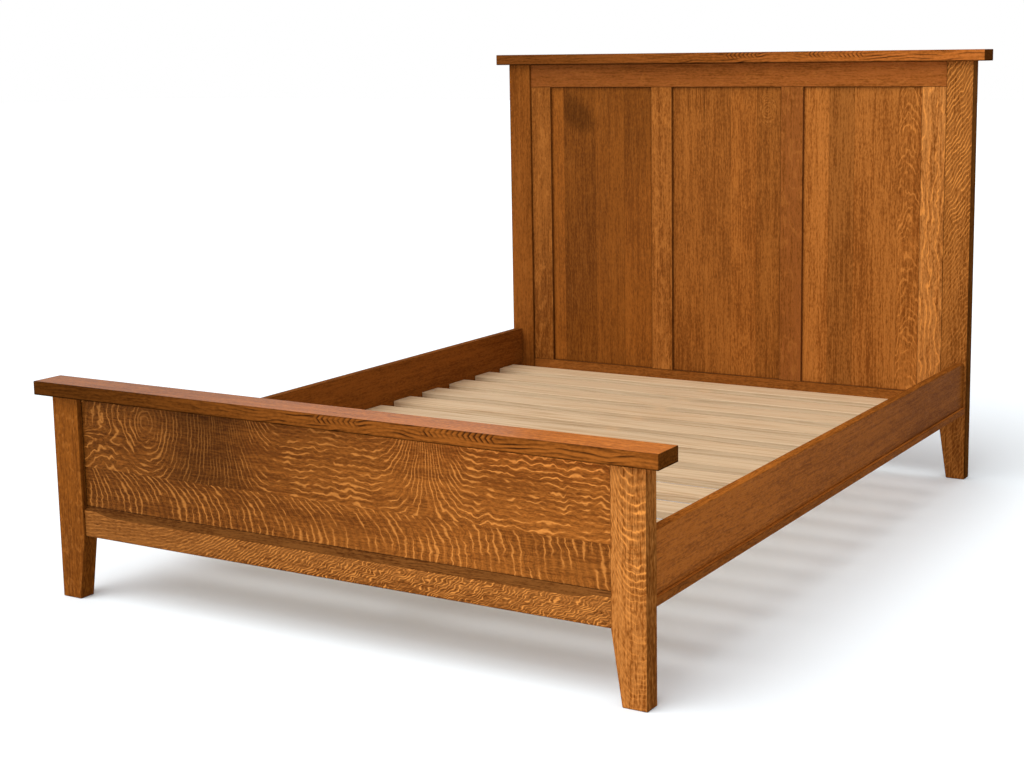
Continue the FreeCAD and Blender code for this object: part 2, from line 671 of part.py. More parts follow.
def make_headboard():
    keep(head_rail("head_top_rail", "head_opening_top", "head_top_rail_height", "top_tenon_top",
                   "0", "groove_depth"))
    bottom = head_rail("head_bottom_rail_blank", "rail_floor_gap", "head_bottom_rail_height",
                       "head_bottom_rail_height - tenon_shoulder",
                       "head_bottom_rail_height - groove_depth", "head_bottom_rail_height")
    keep(bored("head_bottom_rail", bottom, hanger_screw_holes))
    stile_sides = [("inner", "stile_inner", "stile_inner + groove_depth")]
    stile = keep(head_upright("head_stile_right", "stile_inner", "post_inner", stile_sides))
    keep(mirror("head_stile_left", stile, ACROSS))
    mullion_sides = [("inner", "mullion_inner", "mullion_inner + groove_depth"),
                     ("outer", "mullion_outer - groove_depth", "mullion_outer")]
    mullion = keep(head_upright("head_mullion_right", "mullion_inner", "mullion_outer", mullion_sides))
    keep(mirror("head_mullion_left", mullion, ACROSS))
    keep(head_panel("head_panel_middle", "-mullion_inner", "mullion_inner"))
    panel = keep(head_panel("head_panel_right", "mullion_outer", "stile_inner"))
    keep(mirror("head_panel_left", panel, ACROSS))


# Footboard rail and panel

def stopped_chamfer(rail):
    """Chamfer along the rail's front top edge that curves out to nothing before each post."""
    sketch = new_sketch(rail, "foot_rail_chamfer", "Y")
    sketch.AttachmentOffset = FreeCAD.Placement(FreeCAD.Vector(), FreeCAD.Rotation(ACROSS, 0))
    sketch.setExpression("AttachmentOffset.Base.y", bound("foot_rail_height - chamfer_height"))
    sketch.setExpression("AttachmentOffset.Rotation.Angle", bound("atan(chamfer_height / foot_bevel_depth)"))
    flat_end = value("post_inner") - value("chamfer_stop")
    radius = value("chamfer_runout_radius")
    rise = value("chamfer_bite") + value("cut_overrun")
    turn = math.acos(1 - rise / radius)
    reach = flat_end + radius * math.sin(turn)
    corners = [FreeCAD.Vector(x, y, 0) for x, y in
               ((-flat_end, 0), (flat_end, 0), (reach, rise), (-reach, rise))]
    centres = [FreeCAD.Vector(x, radius, 0) for x in (flat_end, -flat_end)]
    down = -math.pi / 2
    circles = [Part.Circle(centre, UP, radius) for centre in centres]
    sketch.addGeometry([
        Part.LineSegment(corners[0], corners[1]),
        Part.ArcOfCircle(circles[0], down, down + turn),
        Part.LineSegment(corners[2], corners[3]),
        Part.ArcOfCircle(circles[1], down - turn, down),
    ], False)
    for curve, following in ((0, 1), (1, 2), (2, 3), (3, 0)):
        sketch.addConstraint(Sketcher.Constraint("Coincident", curve, 2, following, 1))
    for curve, end, across, up in ((0, 1, "-post_inner + chamfer_stop", "0"),
                                   (0, 2, "post_inner - chamfer_stop", "0"),
                                   (1, 3, "post_inner - chamfer_stop", "chamfer_runout_radius"),
                                   (3, 3, "-post_inner + chamfer_stop", "chamfer_runout_radius")):
        point = sketch.getPoint(curve, end)
        hold(sketch, "DistanceX", curve, end, across, point.x)
        hold(sketch, "DistanceY", curve, end, up, point.y)
    for end in (1, 2):
        hold(sketch, "DistanceY", 2, end, "chamfer_bite + cut_overrun", rise)
    chamfer = extrude(rail, "Pocket", sketch, "Y", "chamfer_sweep")
    chamfer.SideType = "Symmetric"


def make_footboard():
    rail = new_body("foot_bottom_rail_blank", "0", "foot_front + foot_rail_recess", "rail_floor_gap")
    section = [("0", "0"), ("foot_rail_thickness", "0"), ("foot_rail_thickness", "foot_rail_height"),
               ("foot_bevel_depth", "foot_rail_height"), ("0", "foot_rail_height - foot_bevel_height")]
    pad(rail, "foot_rail_section", "X", section, "-post_inner", "2 * post_inner")
    soften(rail, "Fillet", "frame_ease",
           lambda edge: runs_along(edge, "X") and edge.BoundBox.ZMax < value("frame_ease"))
    tenons(rail, "foot_rail_tenons", "foot_tenon_front", "tenon_shoulder",
           "foot_rail_height - groove_depth - tenon_shoulder")
    groove = rectangle("foot_bevel_depth", "foot_bevel_depth + foot_groove_width",
                       "foot_rail_height - groove_depth", "foot_rail_height")
    cut(rail, "foot_rail_groove", "X", groove, "-post_inner", "2 * post_inner")
    stopped_chamfer(rail)
    keep(bored("foot_bottom_rail", rail, hanger_screw_holes))

    panel = keep(new_body("foot_panel", "0", "foot_front + foot_panel_front", "foot_rail_top"))
    outline = rectangle("-post_inner - tongue_length", "post_inner + tongue_length",
                        "-tongue_length", "foot_post_height - foot_rail_top + tongue_length")
    pad(panel, "foot_panel_face", "Y", outline, "0", "foot_panel_thickness")


# Side rails and their steel fittings

def make_side_rails():
    rail = new_body("side_rail_blank", "rail_inner", "0", "ledge_top")
    pad(rail, "side_rail_section", "Y", rectangle("0", "rail_thickness", "0", "rail_height"),
        "-rail_half", "rail_length")
    soften(rail, "Fillet", "edge_ease", lambda edge: runs_along(edge, "Y"))
    half_width = "(plate_width / 2 + plate_clearance)"
    half_height = "(plate_height / 2 + plate_clearance)"
    seat = rectangle(f"rail_thickness / 2 - {half_width}", f"rail_thickness / 2 + {half_width}",
                     f"rail_height / 2 - {half_height}", f"rail_height / 2 + {half_height}")
    cut(rail, "side_rail_foot_seat", "Y", seat, "-rail_half", "plate_thickness")
    cut(rail, "side_rail_head_seat", "Y", seat, "rail_half - plate_thickness", "plate_thickness")
    right = keep(bored("side_rail_right", rail, ledge_screw_holes, plate_screw_holes))
    keep(mirror("side_rail_left", right, ACROSS))

    ledge = new_body("rail_ledge_blank", "rail_inner", "0", "rail_underside")
    section = rectangle("-ledge_inner_width", "rail_thickness + ledge_proud", "0", "ledge_thickness")
    pad(ledge, "rail_ledge_section", "Y", section, "-rail_half", "rail_length")
    soften(ledge, "Fillet", "edge_ease", lambda edge: runs_along(edge, "Y"))
    right = keep(bored("rail_ledge_right", ledge, ledge_screw_holes, slat_screw_holes))
    keep(mirror("rail_ledge_left", right, ACROSS))


def plate_outline():
    return rectangle("-plate_width / 2", "plate_width / 2", "-plate_height / 2", "plate_height / 2")


def make_hook_plates():
    """Plate in the rail's end with two hooks that drop behind the slotted plate."""
    plate = new_body("hook_plate_blank", "rail_middle", "rail_half", "plate_middle")
    pad(plate, "hook_plate_face", "Y", plate_outline(), "-plate_thickness", "plate_thickness")
    for place, side in (("lower", "-"), ("upper", "")):
        neck = f"({side} hook_spacing / 2)"
        lip = "(plate_thickness + hook_clearance)"
        profile = [("0", neck), (lip, neck), (lip, f"{neck} - hook_drop"),
                   ("hook_reach - hook_nose / 2", f"{neck} - hook_drop"),
                   ("hook_reach", f"{neck} - hook_drop / 2"),
                   ("hook_reach", f"{neck} + hook_neck_height / 2"),
                   ("hook_reach - hook_nose / 2", f"{neck} + hook_neck_height"),
                   ("0", f"{neck} + hook_neck_height")]
        pad(plate, f"hook_plate_{place}_hook", "X", profile, "-hook_thickness / 2", "hook_thickness")
    spread_plates("hook_plate", plate)


def make_slot_plates():
    """Plate in the post with two slots, each tall enough for its hook to enter above and drop."""
    plate = new_body("slot_plate_blank", "rail_middle", "rail_half", "plate_middle")
    pad(plate, "slot_plate_face", "Y", plate_outline(), "0", "plate_thickness")
    for place, side in (("lower", "-"), ("upper", "")):
        neck = f"({side} hook_spacing / 2)"
        slot = rectangle("-slot_width / 2", "slot_width / 2", neck, f"{neck} + slot_height")
        cut(plate, f"slot_plate_{place}_slot", "Y", slot, "0", "plate_thickness")
    spread_plates("slot_plate", plate)


def spread_plates(label, plate):
    """One plate at each corner of the bed."""
    head_right = keep(bored(f"{label}_head_right", plate, plate_screw_holes))
    foot_right = keep(mirror(f"{label}_foot_right", head_right, ALONG))
    keep(mirror(f"{label}_head_left", head_right, ACROSS))
    keep(mirror(f"{label}_foot_left", foot_right, ACROSS))


# Slats and centre support

def make_slats():
    for index in range(round(value("slat_count"))):
        label = f"slat_{index + 1:02d}"
        start = f"{index + 1} * slat_gap + {index} * slat_width - rail_half"
        slat = new_body(label + "_blank", "0", start, "ledge_top")
        section = rectangle("0", "slat_width", "0", "slat_thickness")
        pad(slat, label + "_section", "X", section, "-slat_half", "2 * slat_half")
        soften(slat, "Fillet", "edge_ease", lambda edge: runs_along(edge, "X"))
        keep(bored(label, slat, slat_screw_holes))


def make_beam():
    beam = new_body("centre_beam_blank", "0", "beam_start", "beam_base")
    section = rectangle("-beam_width / 2", "beam_width / 2", "0", "beam_height")
    pad(beam, "centre_beam_section", "Y", section, "0", "beam_length")
    soften(beam, "Fillet", "edge_ease", lambda edge: runs_along(edge, "Y"))
    keep(bored("centre_beam", beam, bolt_holes))


def beam_hanger(label, face, ear_start, channel_start):
    """Bent sheet channel under the beam's end, with two ears screwed to the rail."""
    hanger = new_body(label + "_blank", "0", face, "hanger_base")
    inside = "(hanger_half - hanger_steel)"
    channel = [("-hanger_half", "0"), ("hanger_half", "0"), ("hanger_half", "hanger_height"),
               (inside, "hanger_height"), (inside, "hanger_steel"), (f"-1 * {inside}", "hanger_steel"),
               (f"-1 * {inside}", "hanger_height"), ("-hanger_half", "hanger_height")]
    pad(hanger, label + "_channel", "Y", channel, channel_start, "hanger_reach")
    for side, left, right in (("right", inside, "hanger_half + hanger_ear_width"),
                              ("left", "-hanger_half - hanger_ear_width", f"-1 * {inside}")):
        pad(hanger, f"{label}_{side}_ear", "Y", rectangle(left, right, "0", "hanger_height"),
            ear_start, "hanger_steel")
    return bored(label, hanger, hanger_screw_holes)


def make_support():
    make_beam()
    keep(beam_hanger("beam_hanger_foot", "foot_rail_back", "0", "0"))
    keep(beam_hanger("beam_hanger_head", "head_frame_front", "-hanger_steel", "-hanger_reach"))
    for end, side in (("foot", "-"), ("head", "")):
        make_leg(end, f"{side} leg_spacing / 2")


def make_leg(end, middle):
    """Leg bolted to the side of the beam, with a screw leveller in its foot."""
    leg = new_body(f"support_leg_{end}_blank", "leg_middle", middle)
    section = rectangle("-leg_thickness / 2", "leg_thickness / 2", "-leg_width / 2", "leg_width / 2")
    pad(leg, f"support_leg_{end}_section", "Z", section, "leg_floor_gap", "leg_top - leg_floor_gap")
    soften(leg, "Chamfer", "leg_bevel", lambda edge: runs_along(edge, "Z"))
    centre = [("0", "0")]
    bore(leg, f"support_leg_{end}_insert_bore", "Z", centre, "insert_diameter + 2 * bore_clearance",
         "leg_floor_gap", "insert_depth")
    bore(leg, f"support_leg_{end}_stem_bore", "Z", centre, "stem_diameter + 2 * stem_side_room",
         "leg_floor_gap", "stem_height + stem_room - leg_floor_gap")
    keep(bored(f"support_leg_{end}", leg, bolt_holes))

    insert = keep(new_body(f"leveller_insert_{end}", "leg_middle", middle, "leg_floor_gap"))
    wall = "stem_diameter / 2 + stem_clearance"
    revolve(insert, f"leveller_insert_{end}_section", [
        (wall, "-insert_flange_thickness"), ("insert_flange_diameter / 2", "-insert_flange_thickness"),
        ("insert_flange_diameter / 2", "0"), ("insert_diameter / 2", "0"),
        ("insert_diameter / 2", "insert_depth"), (wall, "insert_depth")])

    stem = keep(new_body(f"leveller_stem_{end}", "leg_middle", middle))
    rod(stem, f"leveller_stem_{end}_shank", "Z", centre, "stem_diameter", "stem_foot",
        "stem_height - stem_foot")
    corner = "hex_width / sqrt(3)"
    turns = [f"{index} * 60 deg" for index in range(6)]
    corners = [(f"{corner} * cos({turn})", f"{corner} * sin({turn})") for turn in turns]
    pad(stem, f"leveller_stem_{end}_collar", "Z", corners, "collar_base", "collar_height")

    foot = keep(new_body(f"leveller_pad_{end}", "leg_middle", middle))
    revolve(foot, f"leveller_pad_{end}_section", [
        ("0", "0"), ("pad_diameter / 2 - pad_foot_bevel", "0"), ("pad_diameter / 2", "pad_foot_bevel"),
        ("pad_diameter / 2", "pad_edge_height"), ("pad_hub_diameter / 2", "pad_hub_height"),
        (wall, "pad_hub_height"), (wall, "pad_sole"), ("0", "pad_sole")])


make_posts()
make_caps()
make_headboard()
make_footboard()
make_side_rails()
make_hook_plates()
make_slot_plates()
make_slats()
make_support()
doc.recompute()

# Nothing is written unless every object is sound and every cut has taken something away
for item in doc.Objects:
    if "Invalid" in item.State or "Error" in item.State:
        raise RuntimeError(f"{item.Label}: {item.State}")
    if item.TypeId == "PartDesign::Pocket" and item.Shape.Volume >= item.BaseFeature.Shape.Volume:
        raise RuntimeError(f"{item.Label} cuts nothing")
for node in nodes:
    if node.Shape.isNull() or not node.Shape.isValid() or not node.Shape.Solids:
        raise RuntimeError(f"{node.Label} has no sound shape")

os.makedirs("parts", exist_ok=True)
for node in nodes:
    node.Shape.exportStep(f"parts/{node.Label}.step")
print(len(nodes), "sub-parts written")
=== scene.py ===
import math
from collections import namedtuple

import bmesh
import bpy
from mathutils import Matrix, Vector


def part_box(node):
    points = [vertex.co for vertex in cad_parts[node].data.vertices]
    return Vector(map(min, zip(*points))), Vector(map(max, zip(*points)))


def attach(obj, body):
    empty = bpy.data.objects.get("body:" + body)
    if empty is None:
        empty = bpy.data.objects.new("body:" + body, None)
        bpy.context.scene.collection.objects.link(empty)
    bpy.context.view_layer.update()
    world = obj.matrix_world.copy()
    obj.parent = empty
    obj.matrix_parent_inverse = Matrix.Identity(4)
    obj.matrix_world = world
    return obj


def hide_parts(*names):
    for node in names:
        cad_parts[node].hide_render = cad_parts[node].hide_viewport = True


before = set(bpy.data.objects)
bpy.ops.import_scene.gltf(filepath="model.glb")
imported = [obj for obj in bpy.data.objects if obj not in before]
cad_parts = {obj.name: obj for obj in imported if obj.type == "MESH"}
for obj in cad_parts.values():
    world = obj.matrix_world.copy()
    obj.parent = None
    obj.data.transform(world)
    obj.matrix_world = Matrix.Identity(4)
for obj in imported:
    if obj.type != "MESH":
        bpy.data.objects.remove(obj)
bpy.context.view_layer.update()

# Finishes and hardware of an oak bed frame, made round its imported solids.
# Metres, in the solids' own frame: X across the bed, Y from the foot to the head, Z up from the floor.

bl_info = {
    "name": "Oak bed frame",
    "version": (1, 0, 0),
    "blender": (4, 5, 0),
    "location": "3D View > Sidebar > Bed frame",
    "description": "Oak, deck timber, steel fittings and studio for a panelled bed frame",
    "category": "Object",
}


# Sizes and colours that a user would change

def colour(name, description, default):
    """Property for a colour, in linear light."""
    return bpy.props.FloatVectorProperty(name=name, description=description, default=default, size=3,
                                         min=0.0, max=1.0, subtype="COLOR")


def length(name, description, default):
    """Property for a length in metres."""
    return bpy.props.FloatProperty(name=name, description=description, default=default, min=0.0,
                                   precision=5, unit="LENGTH")


def share(name, description, default):
    """Property for a share from none to all."""
    return bpy.props.FloatProperty(name=name, description=description, default=default, min=0.0, max=1.0,
                                   subtype="FACTOR")


class OakLook(bpy.types.PropertyGroup):
    """Stained quarter-sawn oak of the boards, posts and rails."""

    stain: colour("Stain", "Wood between the flecks", (0.300, 0.090, 0.0120))
    shade: colour("Dark stain", "Wood where the stain went in deeper", (0.165, 0.046, 0.0065))
    pale: colour("Pale stain", "Wood that took less stain", (0.440, 0.168, 0.0390))
    red: colour("Red stain", "Redder wood of some members", (0.255, 0.072, 0.0170))
    fleck: colour("Fleck", "Rays that cross the face", (0.560, 0.207, 0.0410))
    pore: colour("Pores", "Open pores and edges filled with glaze", (0.050, 0.014, 0.0030))
    ray_gap: length("Ray gap", "Between two rays, through the board's thickness", 0.0045)
    ray_share: share("Ray width", "Half width of a ray as a share of the space between two", 0.20)
    ring_width: length("Ring width", "One year's growth", 0.0032)
    # Width of the dark line along the edges, partly glaze and partly painted shade in the gaps between parts
    glaze_and_shade_width: length("Glaze width", "Dark glaze along a board's edges", 0.0030)
    index: bpy.props.FloatProperty(name="Index", description="Refractive index of the rubbed lacquer",
                                   default=1.20, min=1.0, max=2.0)
    gloss: share("Gloss", "Share of light that the face mirrors when seen square on", 0.06)
    roughness: share("Roughness", "Satin lacquer on the wood", 0.42)
    coat: share("Lacquer", "Weight of the clear lacquer on a face", 0.06)
    coat_roughness: share("Lacquer roughness", "Rubbed lacquer", 0.26)
    relief: length("Pore depth", "Relief of the open grain", 0.00018)


class TimberLook(bpy.types.PropertyGroup):
    """Planed, unfinished timber of the deck."""

    pale: colour("Pale wood", "Wood between the growth rings", (0.60, 0.43, 0.26))
    tan: colour("Late wood", "Growth rings", (0.40, 0.24, 0.115))
    ring_width: length("Ring width", "One year's growth", 0.0065)
    roughness: share("Roughness", "Planed wood", 0.62)
    relief: length("Plane marks", "Relief of the planed face", 0.00012)


class HardwareLook(bpy.types.PropertyGroup):
    """Zinc plated steel and black nylon."""

    zinc: colour("Zinc", "Bright zinc plating", (0.72, 0.71, 0.68))
    dull_zinc: colour("Dull zinc", "Plating that has dulled", (0.50, 0.50, 0.49))
    nylon: colour("Nylon", "Moulded feet of the levellers", (0.020, 0.020, 0.022))
    screw_pitch: length("Screw pitch", "Thread of the wood screws", 0.0024)
    bolt_pitch: length("Bolt pitch", "Thread of bolts, nuts and levellers", 0.00125)
    bolt_thread: length("Bolt thread", "Threaded length at a bolt's end", 0.026)
    edge: length("Edge", "Rounded edges of heads and nuts", 0.0005)


class StageLook(bpy.types.PropertyGroup):
    """Pale floor, soft light and camera."""

    floor: colour("Floor", "Pale floor", (0.900, 0.950, 0.985))
    sky: share("Surroundings", "Light from all round", 0.70)
    key: bpy.props.FloatProperty(name="Key light", description="Strength of the soft key light",
                                 default=2.5, min=0.0)
    spread: bpy.props.FloatProperty(name="Key spread", description="Angle that the key light fills",
                                    default=math.radians(62), subtype="ANGLE")
    lens: bpy.props.FloatProperty(name="Lens", default=59.717, min=1.0,
                                  description="Focal length on a 36 mm wide sensor, in millimetres")


# Shader sums

class Tone:
    """Output of a shader node. A sum of tones and numbers adds its Math nodes to the material."""

    def __init__(self, socket):
        self.socket = socket

    def node(self, kind, settings=None, values=None, output=0):
        """Add a node: its settings come first, then the value or the link of each input."""
        tree = self.socket.id_data
        made = tree.nodes.new("ShaderNode" + kind)
        for name, setting in (settings or {}).items():
            setattr(made, name, setting)
        for key, value in (values or {}).items():
            if isinstance(value, Tone):
                tree.links.new(value.socket, made.inputs[key])
            else:
                made.inputs[key].default_value = value
        return Tone(made.outputs[output]) if made.outputs else None

    def part(self, output):
        """Another output of the same node."""
        return Tone(self.socket.node.outputs[output])

    def math(self, operation, *others):
        """Math node whose first input is this tone."""
        return self.node("Math", {"operation": operation}, dict(enumerate((self, *others))))

    def __add__(self, other):
        return self.math("ADD", other)

    def __sub__(self, other):
        return self.math("SUBTRACT", other)

    def __rsub__(self, other):
        return self.node("Math", {"operation": "SUBTRACT"}, {0: other, 1: self})

    def __mul__(self, other):
        return self.math("MULTIPLY", other)

    def __truediv__(self, other):
        return self.math("DIVIDE", other)

    def __abs__(self):
        return self.math("ABSOLUTE")

    __radd__ = __add__
    __rmul__ = __mul__


def rise(value, low, high):
    """From 0 at low to 1 at high with soft ends; low may be the larger one."""
    return value.node("MapRange", {"interpolation_type": "SMOOTHSTEP"},
                      {"Value": value, "From Min": low, "From Max": high})


def above(value, level):
    """1 where a value is above a level, 0 elsewhere."""
    return value.math("GREATER_THAN", level)


def distance(first, second):
    """Distance whose two parts lie at a right angle."""
    square = first * first + second * second
    return square.math("SQRT")


def vector(x, y, z):
    """Vector of three tones."""
    return x.node("CombineXYZ", values={0: x, 1: y, 2: z})


def noise(place, cells, seed, detail=2.0):
    """Noise about zero at a place, with a number of cells a metre along each axis."""
    moved = place.node("VectorMath", {"operation": "MULTIPLY_ADD"},
                       {0: place, 1: cells, 2: (seed, seed, seed)})
    return place.node("TexNoise", values={"Vector": moved, "Scale": 1.0, "Detail": detail}) - 0.5


def face_noise(u, v, cells, seed, detail=1.0):
    """Noise over a board's face that is the same all through the board."""
    return noise(vector(u, v, v), (*cells, 0.0), seed, detail)


def blend(amount, first, second):
    """Colour between two colours."""
    pair = {0: amount}
    for socket, paint in ((6, first), (7, second)):
        pair[socket] = paint if isinstance(paint, Tone) else (*paint, 1.0)
    return amount.node("Mix", {"data_type": "RGBA", "clamp_factor": True}, pair, output=2)


def scaled(paint, amount):
    """Colour made brighter or darker by a tone."""
    return paint.node("VectorMath", {"operation": "SCALE"}, {0: paint, "Scale": amount})


def new_material(name):
    """Empty material and the place on the object, in metres."""
    material = bpy.data.materials.new(name)
    material.use_nodes = True
    material.node_tree.nodes.clear()
    place = Tone(material.node_tree.nodes.new("ShaderNodeTexCoord").outputs["Object"])
    return material, place


def close_material(material, paint, roughness, relief, depth, others):
    """Join colour, roughness, relief and the values of other sockets to the shader."""
    bump = relief.node("Bump", values={"Height": relief, "Distance": depth, "Strength": 1.0})
    values = {"Base Color": paint, "Roughness": roughness, "Normal": bump, **others}
    shader = paint.node("BsdfPrincipled", values=values)
    shader.node("OutputMaterial", values={"Surface": shader})
    return material


def dress(node, material):
    """Give a CAD node its finished material."""
    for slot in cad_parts[node].material_slots:
        slot.material = material


# Figure of the oak: u runs along a board's grain, v across its face and w through it, from its low corner

Figure = namedtuple("Figure", "rays tone weight rings", defaults=(0.0, 1.0, 1.0, None))
Eye = namedtuple("Eye", "along across stretch reach")

PANEL_SEAM = 0.1065
PANEL_EYE = Eye(0.2135, 0.2315, 1.3, 0.065)
HEAD_LEFT_SEAM = 0.056
HEAD_LAST_SEAM = 0.286
HEAD_GLUE_LINE = 0.121
HEAD_CURL_SEAM = 0.318
HEAD_MIDDLE_EYE = Eye(0.8725, 0.345, 1.4, 0.045)
CHEVRON_STRETCHES = ((0.85, 0.98), (1.13, 1.33))


def late_wood(years):
    """Dark line at the end of each year's growth."""
    season = years.math("FRACT")
    return rise(season, 0.36, 0.80) * rise(season, 1.0, 0.93)


def drift(u, v, w):
    """Rays that only wander."""
    return Figure()


def flame(u, v, w):
    """Footboard panel: an eye, two fans and level ripples above its glue line, hooked rays below it, and
    painted light at its top right, where the cap casts shade.
    """
    fan_spacing = 0.0112
    fan_end = 0.545
    stroke_rays = 38.0
    level_rays = 72.0
    second_fan_rays = 5.0
    lower_spacing = 0.0195
    bend = 2.6
    hook = 26.0
    wobble = face_noise(u, v, (36.0, 17.0), 1.6)

    droop = rise(u, 0.085, 0.0) * 0.024
    beside = (u - PANEL_EYE.along).math("SMOOTH_MAX", -PANEL_EYE.reach, PANEL_EYE.reach)
    ring = distance(beside, (v + droop - PANEL_EYE.across) / PANEL_EYE.stretch)
    fan = (ring + PANEL_EYE.along).math("SMOOTH_MIN", fan_end, 0.09) / fan_spacing
    left = (PANEL_EYE.along - PANEL_EYE.reach - u).math("SMOOTH_MAX", 0.0, 0.04)
    strokes = (left - (v - PANEL_EYE.across) * 0.3) * stroke_rays
    fan = fan + strokes * rise(v, 0.175, 0.215) * rise(u, 0.17, 0.13)
    level = rise(u, 0.36, 0.63) - rise(u, 0.89, 1.13) * 2.0
    restless = 0.7 + rise(ring, 0.075, 0.03) * 0.9 + rise(u, 0.24, 0.10) * 1.2
    restless = restless + rise(u, 0.55, 0.70) * 0.6 + rise(u, 1.02, 1.18) * 0.5
    upper = fan + (v - PANEL_SEAM) * level * level_rays - rise(u, 0.87, 1.15) * second_fan_rays
    upper = upper + wobble * restless

    dip = rise(u, 0.75, 1.45) * 0.060 + rise(u, 0.10, 0.0) * 0.045
    rising = v - dip
    swept = rising * (abs(rising) * bend + rising * rising * hook)
    lower = (u + swept) / lower_spacing + wobble * 0.9

    is_upper = above(v, PANEL_SEAM)
    dark_fan = rise(u, 0.20, 0.36) * rise(u, 0.58, 0.43) * is_upper
    dark_end = rise(u, 1.10, 1.35) * (1.0 - is_upper)
    # Painted light at the top right of the panel, lifting the shade under the cap
    painted_light_under_cap = rise(v, 0.205, 0.260) * rise(u, 0.60, 1.20)
    in_eye = rise(ring, 0.045, 0.015) * is_upper
    tone = 1.0 - dark_fan * 0.38 - dark_end * 0.16 + painted_light_under_cap * 0.35
    weight = 1.05 - dark_fan * 0.25 - in_eye * 0.55 - rise(u, 0.30, 0.80) * 0.20
    return Figure(lower + is_upper * (upper - lower), tone, weight)


def smiles(u, v, w):
    """Right foot post: rays that come down one side and sweep across the face, fainter near the floor."""
    turn = 0.050
    climb = 36.0
    lift = 8.0
    floor_rays = 93.0
    thinning = 53.0
    before = (turn - v).math("MAXIMUM", 0.0)
    after = (v - turn).math("MAXIMUM", 0.0)
    height = u - before * before * climb - after * after * lift
    weight = (rise(v, 0.0, 0.045) * 0.6 + 0.4) * (0.40 + rise(u, 0.18, 0.34) * 0.75)
    return Figure(height * (floor_rays - height * thinning), 1.0, weight)


def slants(u, v, w):
    """Right head post: fine uneven rays that climb across the face and fade towards the floor."""
    spacing = 0.0175
    slope = 1.50
    curl = face_noise(u, v, (11.0, 24.0), 6.1) * 2.6
    tone = 1.0 - rise(u, 0.60, 0.20) * 0.08
    weight = 0.35 + rise(u, 0.55, 0.95) * 0.65
    return Figure((u - v * slope) / spacing + curl, tone, weight)


def ribbons(u, v, w):
    """Right head stile: long wavy rays that run with the grain."""
    spacing = 0.020
    wave = face_noise(u, v, (10.0, 14.0), 3.3) * 3.0
    return Figure(v / spacing + wave)


def ticks(u, v, w):
    """Footboard rail: long level rays that lean over and break into short dense ones along the rail."""
    spacing = 0.0082
    slope = 0.08
    steeper = 0.62
    start = 0.36
    climb = u * slope + (u - start).math("SMOOTH_MAX", 0.0, 0.2) * steeper
    curl = face_noise(u, v, (38.0, 64.0), 4.4) * (0.8 + rise(u, 0.40, 1.00) * 3.0)
    weight = 0.5 + rise(u, 0.25, 0.55) * 0.8
    return Figure((v - climb) / spacing + curl, 1.0, weight)


def smoky(u, v, w):
    """Left head panel: a dark smoky patch high on its second strip, and a last strip that pales downwards."""
    patch_up = 0.858
    patch_across = 0.108
    half_height = 0.072
    half_width = 0.080
    lean = 0.45
    beside = (v - patch_across) / half_width
    over = (u - patch_up + (v - patch_across) * lean) / half_height
    cloud = face_noise(u, v, (16.0, 22.0), 2.2, 2.0)
    patch = rise(beside * beside + over * over + cloud, 1.15, 0.0) * above(v, HEAD_LEFT_SEAM)
    last = above(v, HEAD_LAST_SEAM) * (rise(u, 0.80, 0.55) * 0.22 - 0.10)
    return Figure(0.0, 1.0 - patch * 0.40 + last, 1.0)


def eyelet(u, v, w):
    """Middle head panel: a small eye near its top, and the open top of a glue line."""
    spacing = 0.0075
    line_width = 0.0028
    eye = HEAD_MIDDLE_EYE
    ring = distance(v - eye.across, (u - eye.along) / eye.stretch)
    in_eye = rise(ring, eye.reach, eye.reach / 2)
    glue_line = rise(abs(v - HEAD_GLUE_LINE), line_width, 0.0) * rise(u, 0.80, 0.88)
    bent = face_noise(u, v, (70.0, 90.0), 5.5) * 1.2
    return Figure((ring / spacing + bent) * in_eye, 1.0 - glue_line * 0.5, 0.6 + in_eye * 1.6)


def curls(u, v, w):
    """Right head panel: plain strips, and curled rays in the last one."""
    middle = 0.352
    spacing = 0.034
    bow = 42.0
    bent = v - middle
    tangle = face_noise(u, v, (13.0, 22.0), 7.7) * 2.4
    weight = 0.25 + above(v, HEAD_CURL_SEAM) * 1.75
    return Figure((u + bent * bent * bow) / spacing + tangle, 1.0, weight)


def chevrons(u, v, w):
    """Caps: growth rings run along the front as broken streaks, with slanting marks on two stretches, and a
    painted shadow along the lower edge.
    """
    ring_height = 0.0105
    ring_slope = 0.03
    mark_spacing = 0.0140
    mark_peak = 0.025
    mark_lean = 0.9
    ends = 0.02
    place = vector(u, v, w)
    wander = noise(place, (4.5, 12.0, 14.0), 3.7) * 7.0
    broken = rise(noise(place, (15.0, 10.0, 70.0), 8.8), -0.14, 0.20)
    streaks = late_wood((w - u * ring_slope) / ring_height + wander)
    streaks = streaks * (0.35 + rise(u, 0.40, 0.90) * 0.65) * (0.25 + broken * 0.95)
    marks = late_wood((u - abs(w - mark_peak) * mark_lean) / mark_spacing + wander * 0.12)
    marked = 0.0
    for start, end in CHEVRON_STRETCHES:
        marked = marked + rise(u, start, start + ends) * rise(u, end, end - ends)
    marked = marked * rise(w, 0.012, 0.017)
    # Painted shadow along the lower edge of the cap's sides, where it meets the board below
    painted_arris_shadow = rise(w, 0.0055, 0.001) * above(w, 0.0003)
    return Figure(0.0, 1.0 - painted_arris_shadow * 0.65, 1.0, streaks + (marks - streaks) * marked)


def dusky_chevrons(u, v, w):
    """Footboard cap: the same, with stain that gathers towards the left end of its front."""
    plain = chevrons(u, v, w)
    gathered = rise(v, 0.006, 0.001) * rise(u, 1.0, 0.0)
    return plain._replace(tone=plain.tone * (1.0 - gathered * 0.50))
